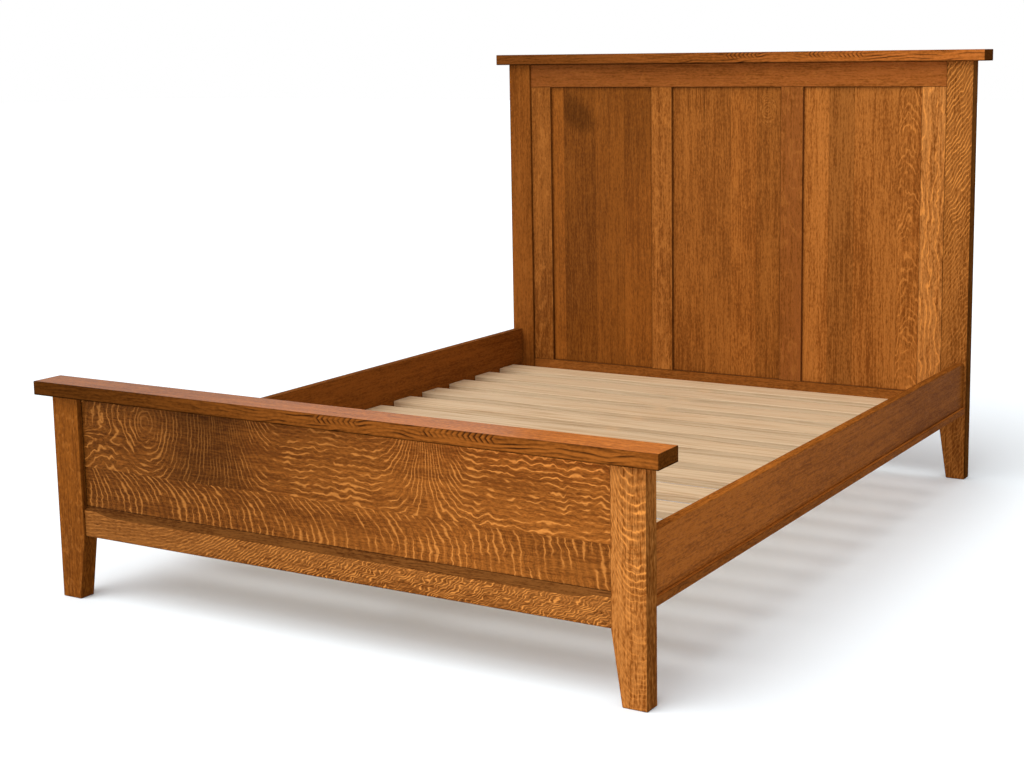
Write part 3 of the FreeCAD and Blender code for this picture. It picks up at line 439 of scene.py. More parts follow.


# Oak boards. The first five values of a board are its node, the axes of its grain and of its thickness,
# its own seed and its tone. The others, in their order:
# change of tone along the grain; shares of pale stain, red stain and flecks; cells a metre that cut the rays
# into pieces; how far rays sway and ripple; strength of the growth rings on the edges; tones of the edges,
# which are partly stain and partly painted shade and painted highlight, and of the ends; factors of gloss and
# lacquer; share of the dark line along the edges, partly glaze and partly painted shade; darkness of the glue
# lines; depth hidden in grooves; glue lines, each with its step of tone; and the figure.

Board = namedtuple("Board", "node grain thickness seed tone fade pale red fleck dash sway ripple rings "
                   "edge end gloss coat glaze joint tuck seams figure",
                   defaults=(0.0, 0.0, 0.0, 0.1, (22.0, 28.0), 8.0, 1.2, 0.3, 0.76, 0.28,
                             1.0, 1.0, 0.55, 0.6, 0.0, (), drift))
Spot = namedtuple("Spot", "u v w size grainwise on_face on_end")
Grain = namedtuple("Grain", "cells seed detail")

AXES = "XYZ"
PANEL_TUCK = 0.0085
GLUE_WIDTH = 0.0012

# How far the pattern jumps along the grain at a glue line
STRIP_JUMP = 3.7

# Cosines of the turn at which a side begins to count as a face or an end, and at which it fully does
FACE_TURN = (0.93, 0.985)
END_TURN = (0.6, 0.9)

# Cells a metre along the grain, across the face and through the board, then a step of the seed and the detail
SWAY = Grain((3.2, 8.0, 8.0), 0.0, 3.0)
RIPPLE = Grain((34.0, 70.0, 20.0), 5.1, 2.0)
CROWD = Grain((7.0, 15.0, 15.0), 3.4, 1.0)
RING_WANDER = Grain((3.6, 12.0, 26.0), 9.4, 1.5)
RING_BREAKS = Grain((9.0, 60.0, 60.0), 5.8, 2.0)
CLOUD = Grain((1.6, 9.0, 9.0), 1.7, 2.0)
STREAK = Grain((2.6, 90.0, 90.0), 8.3, 2.0)
FIBRE = Grain((15.0, 280.0, 280.0), 4.2, 2.0)
SPECK = Grain((85.0, 210.0, 210.0), 7.9, 1.0)
PORES = Grain((75.0, 1500.0, 1500.0), 6.6, 1.0)


def spot_on(board, place):
    """Where a point lies on its board, and whether it is on the face or on an end."""
    low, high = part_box(board.node)
    lengthways = AXES.index(board.grain)
    through = AXES.index(board.thickness)
    order = (lengthways, 3 - lengthways - through, through)
    size = [high[index] - low[index] for index in order]
    parts = place.node("SeparateXYZ", values={0: place})
    u, v, w = (parts.part(index) - low[index] for index in order)
    jumped = u
    for seam, _ in board.seams:
        jumped = jumped + above(v, seam) * STRIP_JUMP
    facing = place.node("NewGeometry", output="Normal")
    normal = facing.node("SeparateXYZ", values={0: facing})
    on_face = rise(abs(normal.part(through)), *FACE_TURN)
    on_end = rise(abs(normal.part(lengthways)), *END_TURN)
    return Spot(u, v, w, size, vector(jumped, v, w), on_face, on_end)


def grain_noise(board, spot, grain):
    """Noise that follows a board's grain and starts afresh at each glue line."""
    return noise(spot.grainwise, grain.cells, board.seed + grain.seed, grain.detail)


def rays(board, look, spot, figure):
    """Flecks, where rays that lie nearly in the face cross it, and a painted sheen of light and dark bands
    beside them.
    """
    sway = grain_noise(board, spot, SWAY)
    ripple = grain_noise(board, spot, RIPPLE)
    crowd = grain_noise(board, spot, CROWD)
    count = figure.rays + spot.w / look.ray_gap + sway * board.sway + ripple * board.ripple
    ray = count.math("ROUND")
    from_ray = abs(count - ray)
    piece = noise(vector(spot.u, spot.v, ray * 0.37), (*board.dash, 1.0), board.seed + 2.3, 1.0)
    half_width = look.ray_share * (0.74 + piece * 1.2 + rise(piece, 0.08, 0.28) * 1.1)
    fleck = rise(from_ray, half_width, half_width * 0.2) * rise(piece + crowd * 0.5, -0.12, 0.06)
    finer = count * 2.6 + ripple * 2.0
    finer = (0.25 - abs(finer - finer.math("ROUND"))) * rise(crowd - piece, -0.25, 0.15)
    shown = spot.on_face * figure.weight
    # The second value is a painted sheen: lighter beside each ray, darker between rays, with finer bands
    return fleck * shown, (0.22 - from_ray + finer) * shown


def growth_rings(board, look, spot, figure):
    """Late wood of each year, broken along the grain."""
    ring = figure.rings
    if ring is None:
        wander = grain_noise(board, spot, RING_WANDER) * 0.055
        ring = late_wood((spot.v + wander + spot.w * spot.w * 2.0) / look.ring_width)
    return ring * rise(grain_noise(board, spot, RING_BREAKS), -0.26, 0.06)


def glaze_and_painted_shade_lines(board, look, spot):
    """Dark line along a board's edges, partly glaze and partly painted shade in the gaps where it meets other
    parts, and dark glue lines.
    """
    gaps = []
    for place, size, tuck in zip((spot.u, spot.v, spot.w), spot.size, (board.tuck, board.tuck, 0.0)):
        gaps.append(size / 2 - tuck - abs(place - size / 2))
    widest = gaps[0].math("MAXIMUM", gaps[1]).math("MAXIMUM", gaps[2])
    from_edge = gaps[0] + gaps[1] + gaps[2] - widest
    lines = rise(from_edge, look.glaze_and_shade_width, 0.0)
    for seam, _ in board.seams:
        lines = lines.math("MAXIMUM", rise(abs(spot.v - seam), GLUE_WIDTH, 0.0) * board.joint)
    return lines


def oak(board, look):
    """Quarter-sawn oak whose growth rings and rays run through the whole board."""
    face_rings = 0.08
    end_rings = 0.25
    material, place = new_material(board.node + "_oak")
    spot = spot_on(board, place)
    figure = board.figure(spot.u, spot.v, spot.w)
    fleck, painted_sheen_bands = rays(board, look, spot, figure)
    ring = growth_rings(board, look, spot, figure)
    cloud = grain_noise(board, spot, CLOUD)
    streak = grain_noise(board, spot, STREAK)
    fibre = grain_noise(board, spot, FIBRE)
    speck = grain_noise(board, spot, SPECK)
    pore = rise(grain_noise(board, spot, PORES) + ring * 0.10, 0.10, 0.26)

    depth = rise(cloud * 1.1 + streak * 0.9 + fibre * 1.5 + speck * 1.3, -0.55, 0.45)
    ring_share = board.rings - spot.on_face * (board.rings - face_rings)
    ring_share = ring_share * (1.0 - spot.on_end * (1.0 - end_rings))
    body = blend(depth, look.shade, look.stain)
    body = blend(depth * board.pale, body, look.pale)
    body = blend(depth * board.red, body, look.red)
    body = blend(ring * ring_share, body, look.pore)
    body = blend(fleck * board.fleck, body, look.fleck)
    body = blend(pore * 0.40, body, look.pore)

    # Each glued strip has a tone of its own, a painted sheen of light and dark bands lies beside the rays,
    # edges take more stain and some carry painted shade or a painted highlight, and a dark line along the
    # edges is glaze in joints and corners together with painted shade in the gaps between parts
    tone = board.tone + rise(spot.u, 0.0, spot.size[0]) * board.fade
    for seam, step in board.seams:
        tone = tone + above(spot.v, seam) * step
    tone = tone * figure.tone * (1.0 + painted_sheen_bands * (board.fleck * 0.9))
    # Dark line along the edges: glaze, and painted shade in the gaps and joints
    tone = tone * (1.0 - glaze_and_painted_shade_lines(board, look, spot) * board.glaze)
    # Sides other than the face get their own tone: partly edge grain that takes more stain, partly painted
    # shade on sides turned from the light and a painted highlight on some top edges
    tone = tone * (board.edge + spot.on_face * (1.0 - board.edge))
    tone = tone * (1.0 - spot.on_end * (1.0 - board.end))

    roughness = look.roughness + pore * 0.18 - fleck * 0.06
    relief = fibre * 0.25 - pore - ring * 0.3
    return close_material(material, scaled(body, tone), roughness, relief, look.relief,
                          {"IOR": look.index, "Specular IOR Level": look.gloss * board.gloss,
                           "Coat Weight": spot.on_face * (look.coat * board.coat),
                           "Coat Roughness": look.coat_roughness, "Coat IOR": look.index})


def finish_boards(boards, look):
    """Oak for a list of boards."""
    for board in boards:
        dress(board.node, oak(board, look))


FOOT_BOARDS = (
    # The panel's strong dark edge line is glaze and painted shade, most of all a painted shadow under the cap
    Board("foot_panel", "X", "Y", 3.0, 0.60, fade=0.53, pale=0.1, fleck=0.84, dash=(32.0, 16.0), sway=2.0,
          ripple=0.7, glaze=0.9, joint=0.15, tuck=PANEL_TUCK, seams=((PANEL_SEAM, 0.02),), figure=flame),
    Board("foot_bottom_rail", "X", "Y", 11.0, 0.72, fade=0.24, pale=0.5, fleck=1.0, dash=(50.0, 64.0),
          sway=2.0, ripple=1.0, edge=0.54, figure=ticks),
    Board("foot_post_left", "Z", "Y", 17.0, 0.85, fleck=0.20, dash=(53.0, 67.0), sway=5.0, ripple=2.2,
          gloss=0.0),
    Board("foot_post_right", "Z", "Y", 23.0, 1.26, pale=0.80, fleck=0.74, sway=3.0, ripple=1.0, edge=0.66,
          gloss=0.0, figure=smiles),
    Board("foot_cap", "X", "Z", 29.0, 1.10, fade=0.87, red=0.2, fleck=0.1, rings=1.0, edge=0.57, end=0.36,
          gloss=0.0, coat=12.0, figure=dusky_chevrons),
)
HEAD_BOARDS = (
    Board("head_post_left", "Z", "Y", 31.0, 0.92, red=0.2, fleck=0.08, gloss=0.0),
    # Right head post: its sides much darker than its face, painted shade
    Board("head_post_right", "Z", "Y", 37.0, 1.02, pale=0.5, fleck=0.90, sway=2.0, ripple=1.0, edge=0.36,
          gloss=0.0, figure=slants),
    Board("head_cap", "X", "Z", 41.0, 0.66, fade=1.24, red=0.6, fleck=0.1, rings=0.9, edge=0.95, end=0.16,
          gloss=0.0, coat=12.0, figure=chevrons),
    # Rails, stiles and mullions: strong dark edge lines, glaze and painted shade in the gaps beside the
    # panels
    Board("head_top_rail", "X", "Y", 43.0, 0.99, fade=0.37, red=0.7, fleck=0.08, ripple=2.0, glaze=0.8),
    Board("head_bottom_rail", "X", "Y", 47.0, 0.95, fade=0.1, red=0.3, fleck=0.1, ripple=2.0, glaze=0.8),
    Board("head_stile_left", "Z", "Y", 53.0, 0.95, pale=0.2, fleck=0.20, glaze=0.8),
    Board("head_stile_right", "Z", "Y", 59.0, 1.28, pale=0.85, fleck=0.60, sway=2.0, ripple=0.8, glaze=0.8,
          figure=ribbons),
    Board("head_mullion_left", "Z", "Y", 61.0, 1.10, pale=0.3, fleck=0.22, glaze=0.8),
    Board("head_mullion_right", "Z", "Y", 67.0, 1.02, pale=0.2, red=0.6, fleck=0.16, glaze=0.8),
    Board("head_panel_left", "Z", "Y", 71.0, 1.04, fleck=0.06, tuck=PANEL_TUCK,
          seams=((HEAD_LEFT_SEAM, -0.26), (0.177, 0.10), (HEAD_LAST_SEAM, 0.02)), figure=smoky),
    Board("head_panel_middle", "Z", "Y", 73.0, 1.08, pale=0.2, fleck=0.14, sway=3.0, tuck=PANEL_TUCK,
          seams=((HEAD_GLUE_LINE, -0.02), (0.215, 0.16), (0.308, -0.20)), figure=eyelet),
    Board("head_panel_right", "Z", "Y", 79.0, 1.36, pale=0.35, fleck=0.18, sway=4.0, tuck=PANEL_TUCK,
          seams=((0.093, -0.38), (0.175, 0.26), (HEAD_CURL_SEAM, 0.06)), figure=curls),
)
SIDE_BOARDS = (
    Board("side_rail_left", "Y", "X", 83.0, 0.95, red=0.2, fleck=0.04, gloss=0.1, glaze=0.2),
    # Right side rail: its top and bottom edges lighter than its face, a painted highlight along the top edge
    Board("side_rail_right", "Y", "X", 89.0, 1.18, fade=-0.42, red=0.1, fleck=0.04, edge=1.15, gloss=0.1,
          glaze=0.2),
    Board("rail_ledge_left", "Y", "Z", 97.0, 1.2, red=0.2, fleck=0.05, gloss=0.2, glaze=0.1),
    # Right ledge strip: painted light on its top and painted shade on its outer side
    Board("rail_ledge_right", "Y", "Z", 101.0, 1.7, red=0.2, fleck=0.05, edge=0.48, gloss=0.2, glaze=0.1),
)


# Deck timber, steel and nylon

PITH_DEPTH = 0.06
TIMBER_INDEX = 1.45
NYLON_INDEX = 1.5
ZINC_GRIT = 0.00004
NYLON_GRIT = 0.00006
TIMBER_SEED_STEP = 3.1
ZINC_SEED_STEP = 1.9
NYLON_SEED_STEP = 4.0


def even(cells):
    """The same number of cells a metre each way."""
    return cells, cells, cells


def timber(node, grain, seed, look):
    """Planed, unfinished hardwood."""
    material, place = new_material(node + "_timber")
    low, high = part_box(node)
    middle = (low + high) / 2
    parts = place.node("SeparateXYZ", values={0: place})
    inside = [parts.part(index) - middle[index] for index in range(3)]
    u = inside.pop(AXES.index(grain))
    v, w = inside
    grainwise = vector(u, v, w)
    wander = noise(grainwise, (1.6, 9.0, 9.0), seed, 1.0) * 0.022
    uneven = noise(vector(u * 0.1, v, w), (4.0, 55.0, 55.0), seed + 4.7, 1.0) * 1.6
    years = (distance(v, w + PITH_DEPTH) + wander) / look.ring_width + uneven
    season = years.math("FRACT")
    ring = rise(season, 0.25, 0.85) * rise(season, 1.0, 0.86)
    fibre = noise(grainwise, (7.0, 260.0, 260.0), seed + 3.3)
    cloud = noise(grainwise, (1.0, 7.0, 7.0), seed + 6.1)
    depth = rise(ring * 0.42 + fibre * 1.1 + cloud * 0.8, -0.14, 0.86)
    paint = scaled(blend(depth, look.pale, look.tan), 1.0 + cloud * 0.35)
    marks = noise(place, even(140.0), seed + 8.0)
    roughness = look.roughness + fibre * 0.2
    return close_material(material, paint, roughness, fibre + marks * 0.4, look.relief, {"IOR": TIMBER_INDEX})


def zinc(name, seed, look):
    """Zinc plated steel, dull in places."""
    material, place = new_material(name + "_zinc")
    patch = rise(noise(place, even(90.0), seed, 3.0), -0.15, 0.2)
    grit = noise(place, even(1500.0), seed + 3.0, 1.0)
    paint = blend(patch, look.dull_zinc, look.zinc)
    roughness = 0.52 - patch * 0.12 + grit * 0.1
    return close_material(material, paint, roughness, grit, ZINC_GRIT, {"Metallic": 1.0})


def nylon(name, seed, look):
    """Moulded nylon with a fine grain and scuffs."""
    material, place = new_material(name + "_nylon")
    grit = noise(place, even(2200.0), seed, 1.0)
    scuff = rise(noise(place, (160.0, 160.0, 500.0), seed + 2.0, 3.0), 0.05, 0.25)
    scuffed = [part + 0.03 for part in look.nylon]
    paint = blend(scuff, look.nylon, scuffed)
    roughness = 0.48 + scuff * 0.15 + grit * 0.1
    return close_material(material, paint, roughness, grit, NYLON_GRIT, {"IOR": NYLON_INDEX})


# Fasteners, modelled once and set where the solids have theirs

Seat = namedtuple("Seat", "head inward length radius")

TURN = 2 * math.pi
TOUCH = 1e-5
SHARP = math.radians(50)
BOLT_RADIUS = 0.004
BOLT_HEAD = 0.0053
BOLT_STEPS = 24
BOLT_THREAD_STEPS = 16
HEXAGON_WIDTH = 0.013
HEXAGON_CORNER = HEXAGON_WIDTH / math.sqrt(3)
BORE = 0.0041
WASHER_RADIUS = 0.008
WASHER_STEPS = 32
COLLAR_BASE = 0.0113
COLLAR_HEIGHT = 0.006

# Depth of a bolt's thread as a share of its pitch
THREAD_DEPTH = 0.6

# Axis that each group of screws lies along
SCREW_GROUPS = {"slat_screws": "Z", "ledge_screws": "Z", "plate_screws": "Y", "hanger_screws": "Y"}


def solids_of(node):
    """Points of each separate solid in a CAD node."""
    bm = bmesh.new()
    bm.from_mesh(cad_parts[node].data)
    bmesh.ops.remove_doubles(bm, verts=bm.verts, dist=TOUCH)
    groups = []
    seen = set()
    for start in bm.verts:
        if start in seen:
            continue
        seen.add(start)
        group = [start]

        # The list grows while it is walked, until the whole solid is in it
        for vert in group:
            joined = [edge.other_vert(vert) for edge in vert.link_edges]
            fresh = [other for other in joined if other not in seen]
            seen.update(fresh)
            group += fresh
        groups.append([vert.co.copy() for vert in group])
    bm.free()
    return groups


def seat_of(points, axis):
    """Where a fastener's wide end is, which way it points, its length and the radius of that end."""
    low = Vector([min(point[index] for point in points) for index in range(3)])
    high = Vector([max(point[index] for point in points) for index in range(3)])
    middle = (low + high) / 2

    def reach(point):
        offset = point - middle
        offset[axis] = 0.0
        return offset.length

    widest = max(points, key=reach)
    starts_low = widest[axis] < middle[axis]
    inward = Vector((0, 0, 0))
    inward[axis] = 1.0 if starts_low else -1.0
    head = middle.copy()
    head[axis] = low[axis] if starts_low else high[axis]
    return Seat(head, inward, high[axis] - low[axis], reach(widest))


def lathe(bm, profile, steps):
    """Turn a profile of radius and height about Z."""
    verts = [bm.verts.new((radius, 0.0, height)) for radius, height in profile]
    edges = [bm.edges.new(pair) for pair in zip(verts, verts[1:])]
    bmesh.ops.spin(bm, geom=verts + edges, cent=(0, 0, 0), axis=(0, 0, 1), angle=TURN, steps=steps,
                   use_merge=True, use_duplicate=False)
    bmesh.ops.remove_doubles(bm, verts=bm.verts, dist=TOUCH)


def thread(bm, root, crest, top, bottom, pitch, steps):
    """Ridge that winds down a shank."""
    corners = [(root, top), (crest, top - pitch / 2), (root, top - pitch)]
    verts = [bm.verts.new((radius, 0.0, height)) for radius, height in corners]
    face = bm.faces.new(verts)
    turns = int((top - bottom) / pitch) - 1
    bmesh.ops.spin(bm, geom=[face, *face.edges, *verts], cent=(0, 0, 0), axis=(0, 0, 1), angle=TURN * turns,
                   dvec=(0, 0, -pitch / steps), steps=steps * turns, use_merge=False, use_duplicate=False)


def extruded(bm, faces):
    """Extrude faces in place and give the new vertices."""
    made = bmesh.ops.extrude_face_region(bm, geom=faces)["geom"]
    return [item for item in made if isinstance(item, bmesh.types.BMVert)]


def soft_corners(bm, size):
    """Round the edges that turn sharply, and leave the steps of a round wall."""
    edges = [edge for edge in bm.edges if len(edge.link_faces) == 2 and edge.calc_face_angle() > SHARP]
    bmesh.ops.bevel(bm, geom=edges, offset=size, offset_type="OFFSET", affect="EDGES", segments=2,
                    profile=0.5, material=-1, clamp_overlap=True)


def to_mesh(bm, name):
    """Mesh of what was modelled."""
    mesh = bpy.data.meshes.new(name)
    bm.to_mesh(mesh)
    bm.free()
    return mesh


def close_mesh(bm, name):
    """Mesh of what was modelled, with its faces turned outwards."""
    bmesh.ops.recalc_face_normals(bm, faces=bm.faces)
    return to_mesh(bm, name)


def wood_screw(radius, screw_length, look):
    """Countersunk wood screw with a cross recess, its head's top at the origin, pointing down."""
    bm = bmesh.new()
    steps = 16
    thread_steps = 10
    quarter = 90
    shank = radius * 0.523
    root = shank * 0.70
    head = radius * 0.512
    recess = radius * 0.55
    core = radius * 0.20
    plain = min(head * 3, screw_length / 4)
    neck = plain + head * 0.3
    tip = min(shank * 3, screw_length / 4)
    lathe(bm, [(0.0, 0.0), (core, 0.0), (recess, 0.0), (radius, 0.0), (radius, -head * 0.12), (shank, -head),
               (shank, -plain), (root, -neck), (root, tip - screw_length), (0.0, -screw_length)], steps)

    def in_recess(face):
        middle = face.calc_center_median()
        turn = math.degrees(math.atan2(middle.y, middle.x)) % quarter
        reach = math.hypot(middle.x, middle.y)
        arm = turn < quarter / 4 or turn > quarter * 3 / 4
        return middle.z > -TOUCH and (reach < core or (reach < recess and arm))

    sunk = [face for face in bm.faces if in_recess(face)]
    verts = extruded(bm, sunk)
    bmesh.ops.scale(bm, vec=(0.75, 0.75, 1.0), verts=verts)
    bmesh.ops.translate(bm, vec=(0.0, 0.0, -head * 0.75), verts=verts)
    bmesh.ops.delete(bm, geom=sunk, context="FACES")
    thread(bm, root * 0.9, shank, -neck, tip - screw_length, look.screw_pitch, thread_steps)
    return close_mesh(bm, "wood_screw")


def hexagon_ring(bm, bore, height):
    """Six-sided ring with a round bore, in an empty bmesh, its lower face at the origin."""
    bmesh.ops.create_circle(bm, segments=6, radius=HEXAGON_CORNER)
    bmesh.ops.subdivide_edges(bm, edges=bm.edges[:], cuts=BOLT_STEPS // 6 - 1)
    bmesh.ops.create_circle(bm, segments=BOLT_STEPS, radius=bore)
    ring = bmesh.ops.bridge_loops(bm, edges=bm.edges[:])["faces"]
    bmesh.ops.translate(bm, vec=(0.0, 0.0, height), verts=extruded(bm, ring))


def bolt(shank, look):
    """Hexagon bolt that points down, with the washer side of its head at the origin."""
    bm = bmesh.new()
    bmesh.ops.create_cone(bm, cap_ends=True, segments=6, radius1=HEXAGON_CORNER, radius2=HEXAGON_CORNER,
                          depth=BOLT_HEAD, matrix=Matrix.Translation((0, 0, BOLT_HEAD / 2)))
    soft_corners(bm, look.edge)
    root = BOLT_RADIUS - look.bolt_pitch * THREAD_DEPTH
    plain = look.bolt_thread - shank
    lathe(bm, [(0.0, TOUCH), (BOLT_RADIUS, TOUCH), (BOLT_RADIUS, plain), (root, plain - look.bolt_pitch / 2),
               (root, look.edge - shank), (root - look.edge, -shank), (0.0, -shank)], BOLT_STEPS)
    thread(bm, root * 0.95, BOLT_RADIUS, plain, look.edge - shank, look.bolt_pitch, BOLT_THREAD_STEPS)
    return close_mesh(bm, "bolt")


def nut(height, look):
    """Hexagon nut, its far face at the origin."""
    bm = bmesh.new()
    hexagon_ring(bm, BORE, height)
    soft_corners(bm, look.edge)
    return close_mesh(bm, "nut")


def washer(height):
    """Flat washer, its far face at the origin."""
    bm = bmesh.new()
    lathe(bm, [(BORE, 0.0), (WASHER_RADIUS, 0.0), (WASHER_RADIUS, height), (BORE, height), (BORE, 0.0)],
          WASHER_STEPS)
    return close_mesh(bm, "washer")


def gather(bm, mesh, seat):
    """Add a copy of a mesh to a bmesh at a seat."""
    first = len(bm.verts)
    bm.from_mesh(mesh)
    bm.verts.ensure_lookup_table()
    turn = Vector((0, 0, -1)).rotation_difference(seat.inward).to_matrix().to_4x4()
    bmesh.ops.transform(bm, matrix=Matrix.Translation(seat.head) @ turn, verts=bm.verts[first:])


def new_piece(name, mesh, material, body, slot, *nodes):
    """Piece that rides on a body and stands for CAD nodes."""
    piece = bpy.data.objects.new(name, mesh)
    bpy.context.scene.collection.objects.link(piece)
    mesh.materials.append(material)
    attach(piece, body)
    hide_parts(*nodes)


def make_screws(look):
    """Wood screws in place of the plain ones."""
    material = zinc("screw", 2.0, look)
    for node, letter in SCREW_GROUPS.items():
        seats = [seat_of(points, AXES.index(letter)) for points in solids_of(node)]
        one = wood_screw(seats[0].radius, seats[0].length, look)
        bm = bmesh.new()
        for seat in seats:
            gather(bm, one, seat)
        bpy.data.meshes.remove(one)
        new_piece(node + "_cut", to_mesh(bm, node + "_cut"), material, "frame", "fastener_steel", node)


def make_bolts(look):
    """Bolts, nuts and washers of the support legs, told apart by their lengths."""
    node = "leg_bolts"
    seats = [seat_of(points, AXES.index("X")) for points in solids_of(node)]
    longest = max(seat.length for seat in seats)
    bm = bmesh.new()
    for seat in seats:
        origin = seat.length
        if seat.length > longest / 2:
            one = bolt(seat.length - BOLT_HEAD, look)
            origin = BOLT_HEAD
        elif seat.length > longest / 30:
            one = nut(seat.length, look)
        else:
            one = washer(seat.length)
        gather(bm, one, seat._replace(head=seat.head + seat.inward * origin))
        bpy.data.meshes.remove(one)
    mesh = to_mesh(bm, node + "_cut")
    new_piece(node + "_cut", mesh, zinc("bolt", 7.0, look), "frame", "fastener_steel", node)


def make_stem(end, look):
    """Threaded leveller stem with its hexagon collar."""
    node = f"leveller_stem_{end}"
    low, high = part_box(node)
    middle = (low + high) / 2
    root = BOLT_RADIUS - look.bolt_pitch * THREAD_DEPTH
    collar_top = COLLAR_BASE + COLLAR_HEIGHT
    bm = bmesh.new()
    hexagon_ring(bm, root * 0.9, COLLAR_HEIGHT)
    soft_corners(bm, look.edge)
    bmesh.ops.translate(bm, vec=(0, 0, COLLAR_BASE), verts=bm.verts)
    lathe(bm, [(0.0, low.z), (BOLT_RADIUS - look.edge, low.z), (BOLT_RADIUS, low.z + look.edge),
               (BOLT_RADIUS, collar_top), (root, collar_top + look.edge), (root, high.z - look.edge),
               (root - look.edge, high.z), (0.0, high.z)], BOLT_STEPS)
    thread(bm, root * 0.95, BOLT_RADIUS, high.z - look.edge, collar_top, look.bolt_pitch, BOLT_THREAD_STEPS)
    bmesh.ops.translate(bm, vec=(middle.x, middle.y, 0), verts=bm.verts)
    mesh = close_mesh(bm, node + "_cut")
    new_piece(node + "_cut", mesh, zinc(node, 13.0, look), f"stem_{end}", "fastener_steel", node)


# Stage: the camera's turns are in degrees, and its shift is a share of the frame's width

CAMERA_PLACE = (2.2986, -3.9671, 1.3024)
CAMERA_YAW = 29.782
CAMERA_TILT = 8.922
CAMERA_ROLL = -0.682
CAMERA_SHIFT = -0.06
SENSOR_WIDTH = 36.0
KEY_AIM = (0.30, 0.62, -0.90)
FLOOR_REACH = 40.0
FLOOR_GRIT = 0.00005


def place_camera(scene, look):
    """Camera at the angle of the photograph, with a small shift that keeps uprights nearly parallel."""
    yaw, tilt, roll = (math.radians(angle) for angle in (CAMERA_YAW, CAMERA_TILT, CAMERA_ROLL))
    forward = Vector((-math.sin(yaw) * math.cos(tilt), math.cos(yaw) * math.cos(tilt), -math.sin(tilt)))
    right = Vector((math.cos(yaw), math.sin(yaw), 0.0))
    up = right.cross(forward)
    turned_right = right * math.cos(roll) + up * math.sin(roll)
    turned_up = up * math.cos(roll) - right * math.sin(roll)
    turn = Matrix((turned_right, turned_up, -forward)).transposed().to_4x4()
    data = bpy.data.cameras.new("view")
    data.sensor_width = SENSOR_WIDTH
    data.lens = look.lens
    data.shift_x = CAMERA_SHIFT
    data.shift_y = CAMERA_SHIFT
    camera = bpy.data.objects.new("view", data)
    camera.matrix_world = Matrix.Translation(CAMERA_PLACE) @ turn
    scene.collection.objects.link(camera)
    scene.camera = camera


def place_floor(scene, look):
    """Wide pale floor."""
    bm = bmesh.new()
    bmesh.ops.create_grid(bm, x_segments=1, y_segments=1, size=FLOOR_REACH)
    mesh = to_mesh(bm, "floor")
    floor = bpy.data.objects.new("floor", mesh)
    scene.collection.objects.link(floor)
    material, place = new_material("floor")
    speck = noise(place, even(60.0), 1.0)
    paint = blend(speck + 0.5, look.floor, [part * 0.99 for part in look.floor])
    mesh.materials.append(close_material(material, paint, 0.75 + speck * 0.05, speck, FLOOR_GRIT, {}))


def place_light(scene, look):
    """White surroundings and one wide key light from the front."""
    world = bpy.data.worlds.new("studio")
    world.use_nodes = True
    tree = world.node_tree
    tree.nodes.clear()
    seen = Tone(tree.nodes.new("ShaderNodeLightPath").outputs["Is Camera Ray"])
    strength = look.sky + seen * (1.0 - look.sky)
    ground = seen.node("Background", values={"Color": (1.0, 1.0, 1.0, 1.0), "Strength": strength})
    ground.node("OutputWorld", values={"Surface": ground})
    scene.world = world
    data = bpy.data.lights.new("key", "SUN")
    data.energy = look.key
    data.angle = look.spread
    key = bpy.data.objects.new("key", data)
    key.rotation_euler = Vector(KEY_AIM).to_track_quat("-Z", "Y").to_euler()
    scene.collection.objects.link(key)


# Operators

class BED_OT_footboard(bpy.types.Operator):
    """Oak for the footboard's posts, cap, panel and rail"""

    bl_idname = "bed.footboard"
    bl_label = "Footboard"

    def execute(self, context):
        finish_boards(FOOT_BOARDS, context.scene.bed_oak)
        return {"FINISHED"}


class BED_OT_headboard(bpy.types.Operator):
    """Oak for the headboard's posts, cap, frame and panels"""

    bl_idname = "bed.headboard"
    bl_label = "Headboard"

    def execute(self, context):
        finish_boards(HEAD_BOARDS, context.scene.bed_oak)
        return {"FINISHED"}


class BED_OT_side_rails(bpy.types.Operator):
    """Oak for the side rails and their ledge strips"""

    bl_idname = "bed.side_rails"
    bl_label = "Side rails"

    def execute(self, context):
        finish_boards(SIDE_BOARDS, context.scene.bed_oak)
        return {"FINISHED"}


class BED_OT_deck(bpy.types.Operator):
    """Planed timber for the slats, the beam, its legs and the dowels"""

    bl_idname = "bed.deck"
    bl_label = "Deck"

    def execute(self, context):
        look = context.scene.bed_timber
        grains = {"centre_beam": "Y", "support_leg_foot": "Z", "support_leg_head": "Z", "cap_dowels": "Z"}
        slats = [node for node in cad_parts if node.startswith("slat_") and node[-1].isdigit()]
        grains.update(dict.fromkeys(slats, "X"))
        for place, (node, grain) in enumerate(sorted(grains.items())):
            dress(node, timber(node, grain, TIMBER_SEED_STEP * place, look))
        return {"FINISHED"}


class BED_OT_plates(bpy.types.Operator):
    """Zinc plated steel for the rail fittings, beam hangers and threaded inserts"""

    bl_idname = "bed.plates"
    bl_label = "Steel plates"

    def execute(self, context):
        look = context.scene.bed_hardware
        plates = [node for node in sorted(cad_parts)
                  if node.startswith(("hook_plate", "slot_plate", "beam_hanger", "leveller_insert"))]
        for place, node in enumerate(plates):
            dress(node, zinc(node, ZINC_SEED_STEP * place, look))
        return {"FINISHED"}


class BED_OT_screws(bpy.types.Operator):
    """Wood screws with cross recesses and threads"""

    bl_idname = "bed.screws"
    bl_label = "Wood screws"

    def execute(self, context):
        make_screws(context.scene.bed_hardware)
        return {"FINISHED"}


class BED_OT_bolts(bpy.types.Operator):
    """Bolts, nuts and washers of the support legs"""

    bl_idname = "bed.bolts"
    bl_label = "Leg bolts"

    def execute(self, context):
        make_bolts(context.scene.bed_hardware)
        return {"FINISHED"}


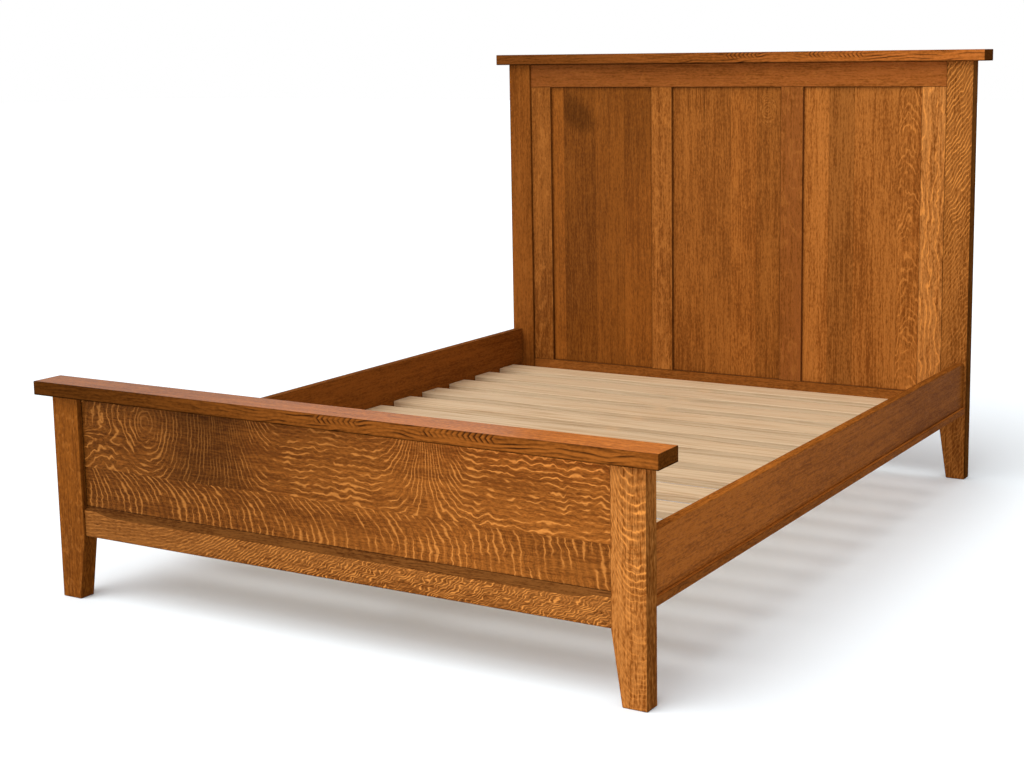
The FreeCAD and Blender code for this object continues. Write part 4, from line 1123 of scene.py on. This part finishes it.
class BED_OT_levellers(bpy.types.Operator):
    """Threaded stems and nylon feet of the levellers"""

    bl_idname = "bed.levellers"
    bl_label = "Levellers"

    def execute(self, context):
        look = context.scene.bed_hardware
        for place, end in enumerate(("foot", "head")):
            make_stem(end, look)
            pad = f"leveller_pad_{end}"
            dress(pad, nylon(pad, NYLON_SEED_STEP * place, look))
        return {"FINISHED"}


class BED_OT_stage(bpy.types.Operator):
    """Pale floor, soft studio light and the camera"""

    bl_idname = "bed.stage"
    bl_label = "Stage"

    def execute(self, context):
        look = context.scene.bed_stage
        place_floor(context.scene, look)
        place_light(context.scene, look)
        place_camera(context.scene, look)
        context.scene.view_settings.view_transform = "Standard"
        return {"FINISHED"}


OPERATORS = (BED_OT_footboard, BED_OT_headboard, BED_OT_side_rails, BED_OT_deck, BED_OT_plates,
             BED_OT_screws, BED_OT_bolts, BED_OT_levellers, BED_OT_stage)
LOOKS = {"bed_oak": OakLook, "bed_timber": TimberLook, "bed_hardware": HardwareLook, "bed_stage": StageLook}


class BED_PT_parts(bpy.types.Panel):
    """Pieces of the bed frame, in the order in which they are made"""

    bl_label = "Bed frame"
    bl_space_type = "VIEW_3D"
    bl_region_type = "UI"
    bl_category = "Bed frame"

    def draw(self, context):
        for operator in OPERATORS:
            self.layout.operator(operator.bl_idname)
        for name, group in LOOKS.items():
            box = self.layout.box()
            for setting in group.__annotations__:
                box.prop(getattr(context.scene, name), setting)


def register():
    for item in (*LOOKS.values(), *OPERATORS, BED_PT_parts):
        bpy.utils.register_class(item)
    for name, group in LOOKS.items():
        setattr(bpy.types.Scene, name, bpy.props.PointerProperty(type=group))


def unregister():
    for name in LOOKS:
        delattr(bpy.types.Scene, name)
    for item in (BED_PT_parts, *reversed(OPERATORS), *reversed(LOOKS.values())):
        bpy.utils.unregister_class(item)


def main():
    register()
    bpy.ops.bed.footboard()
    bpy.ops.bed.headboard()
    bpy.ops.bed.side_rails()
    bpy.ops.bed.deck()
    bpy.ops.bed.plates()
    bpy.ops.bed.screws()
    bpy.ops.bed.bolts()
    bpy.ops.bed.levellers()
    bpy.ops.bed.stage()


if __name__ == "__main__":
    main()
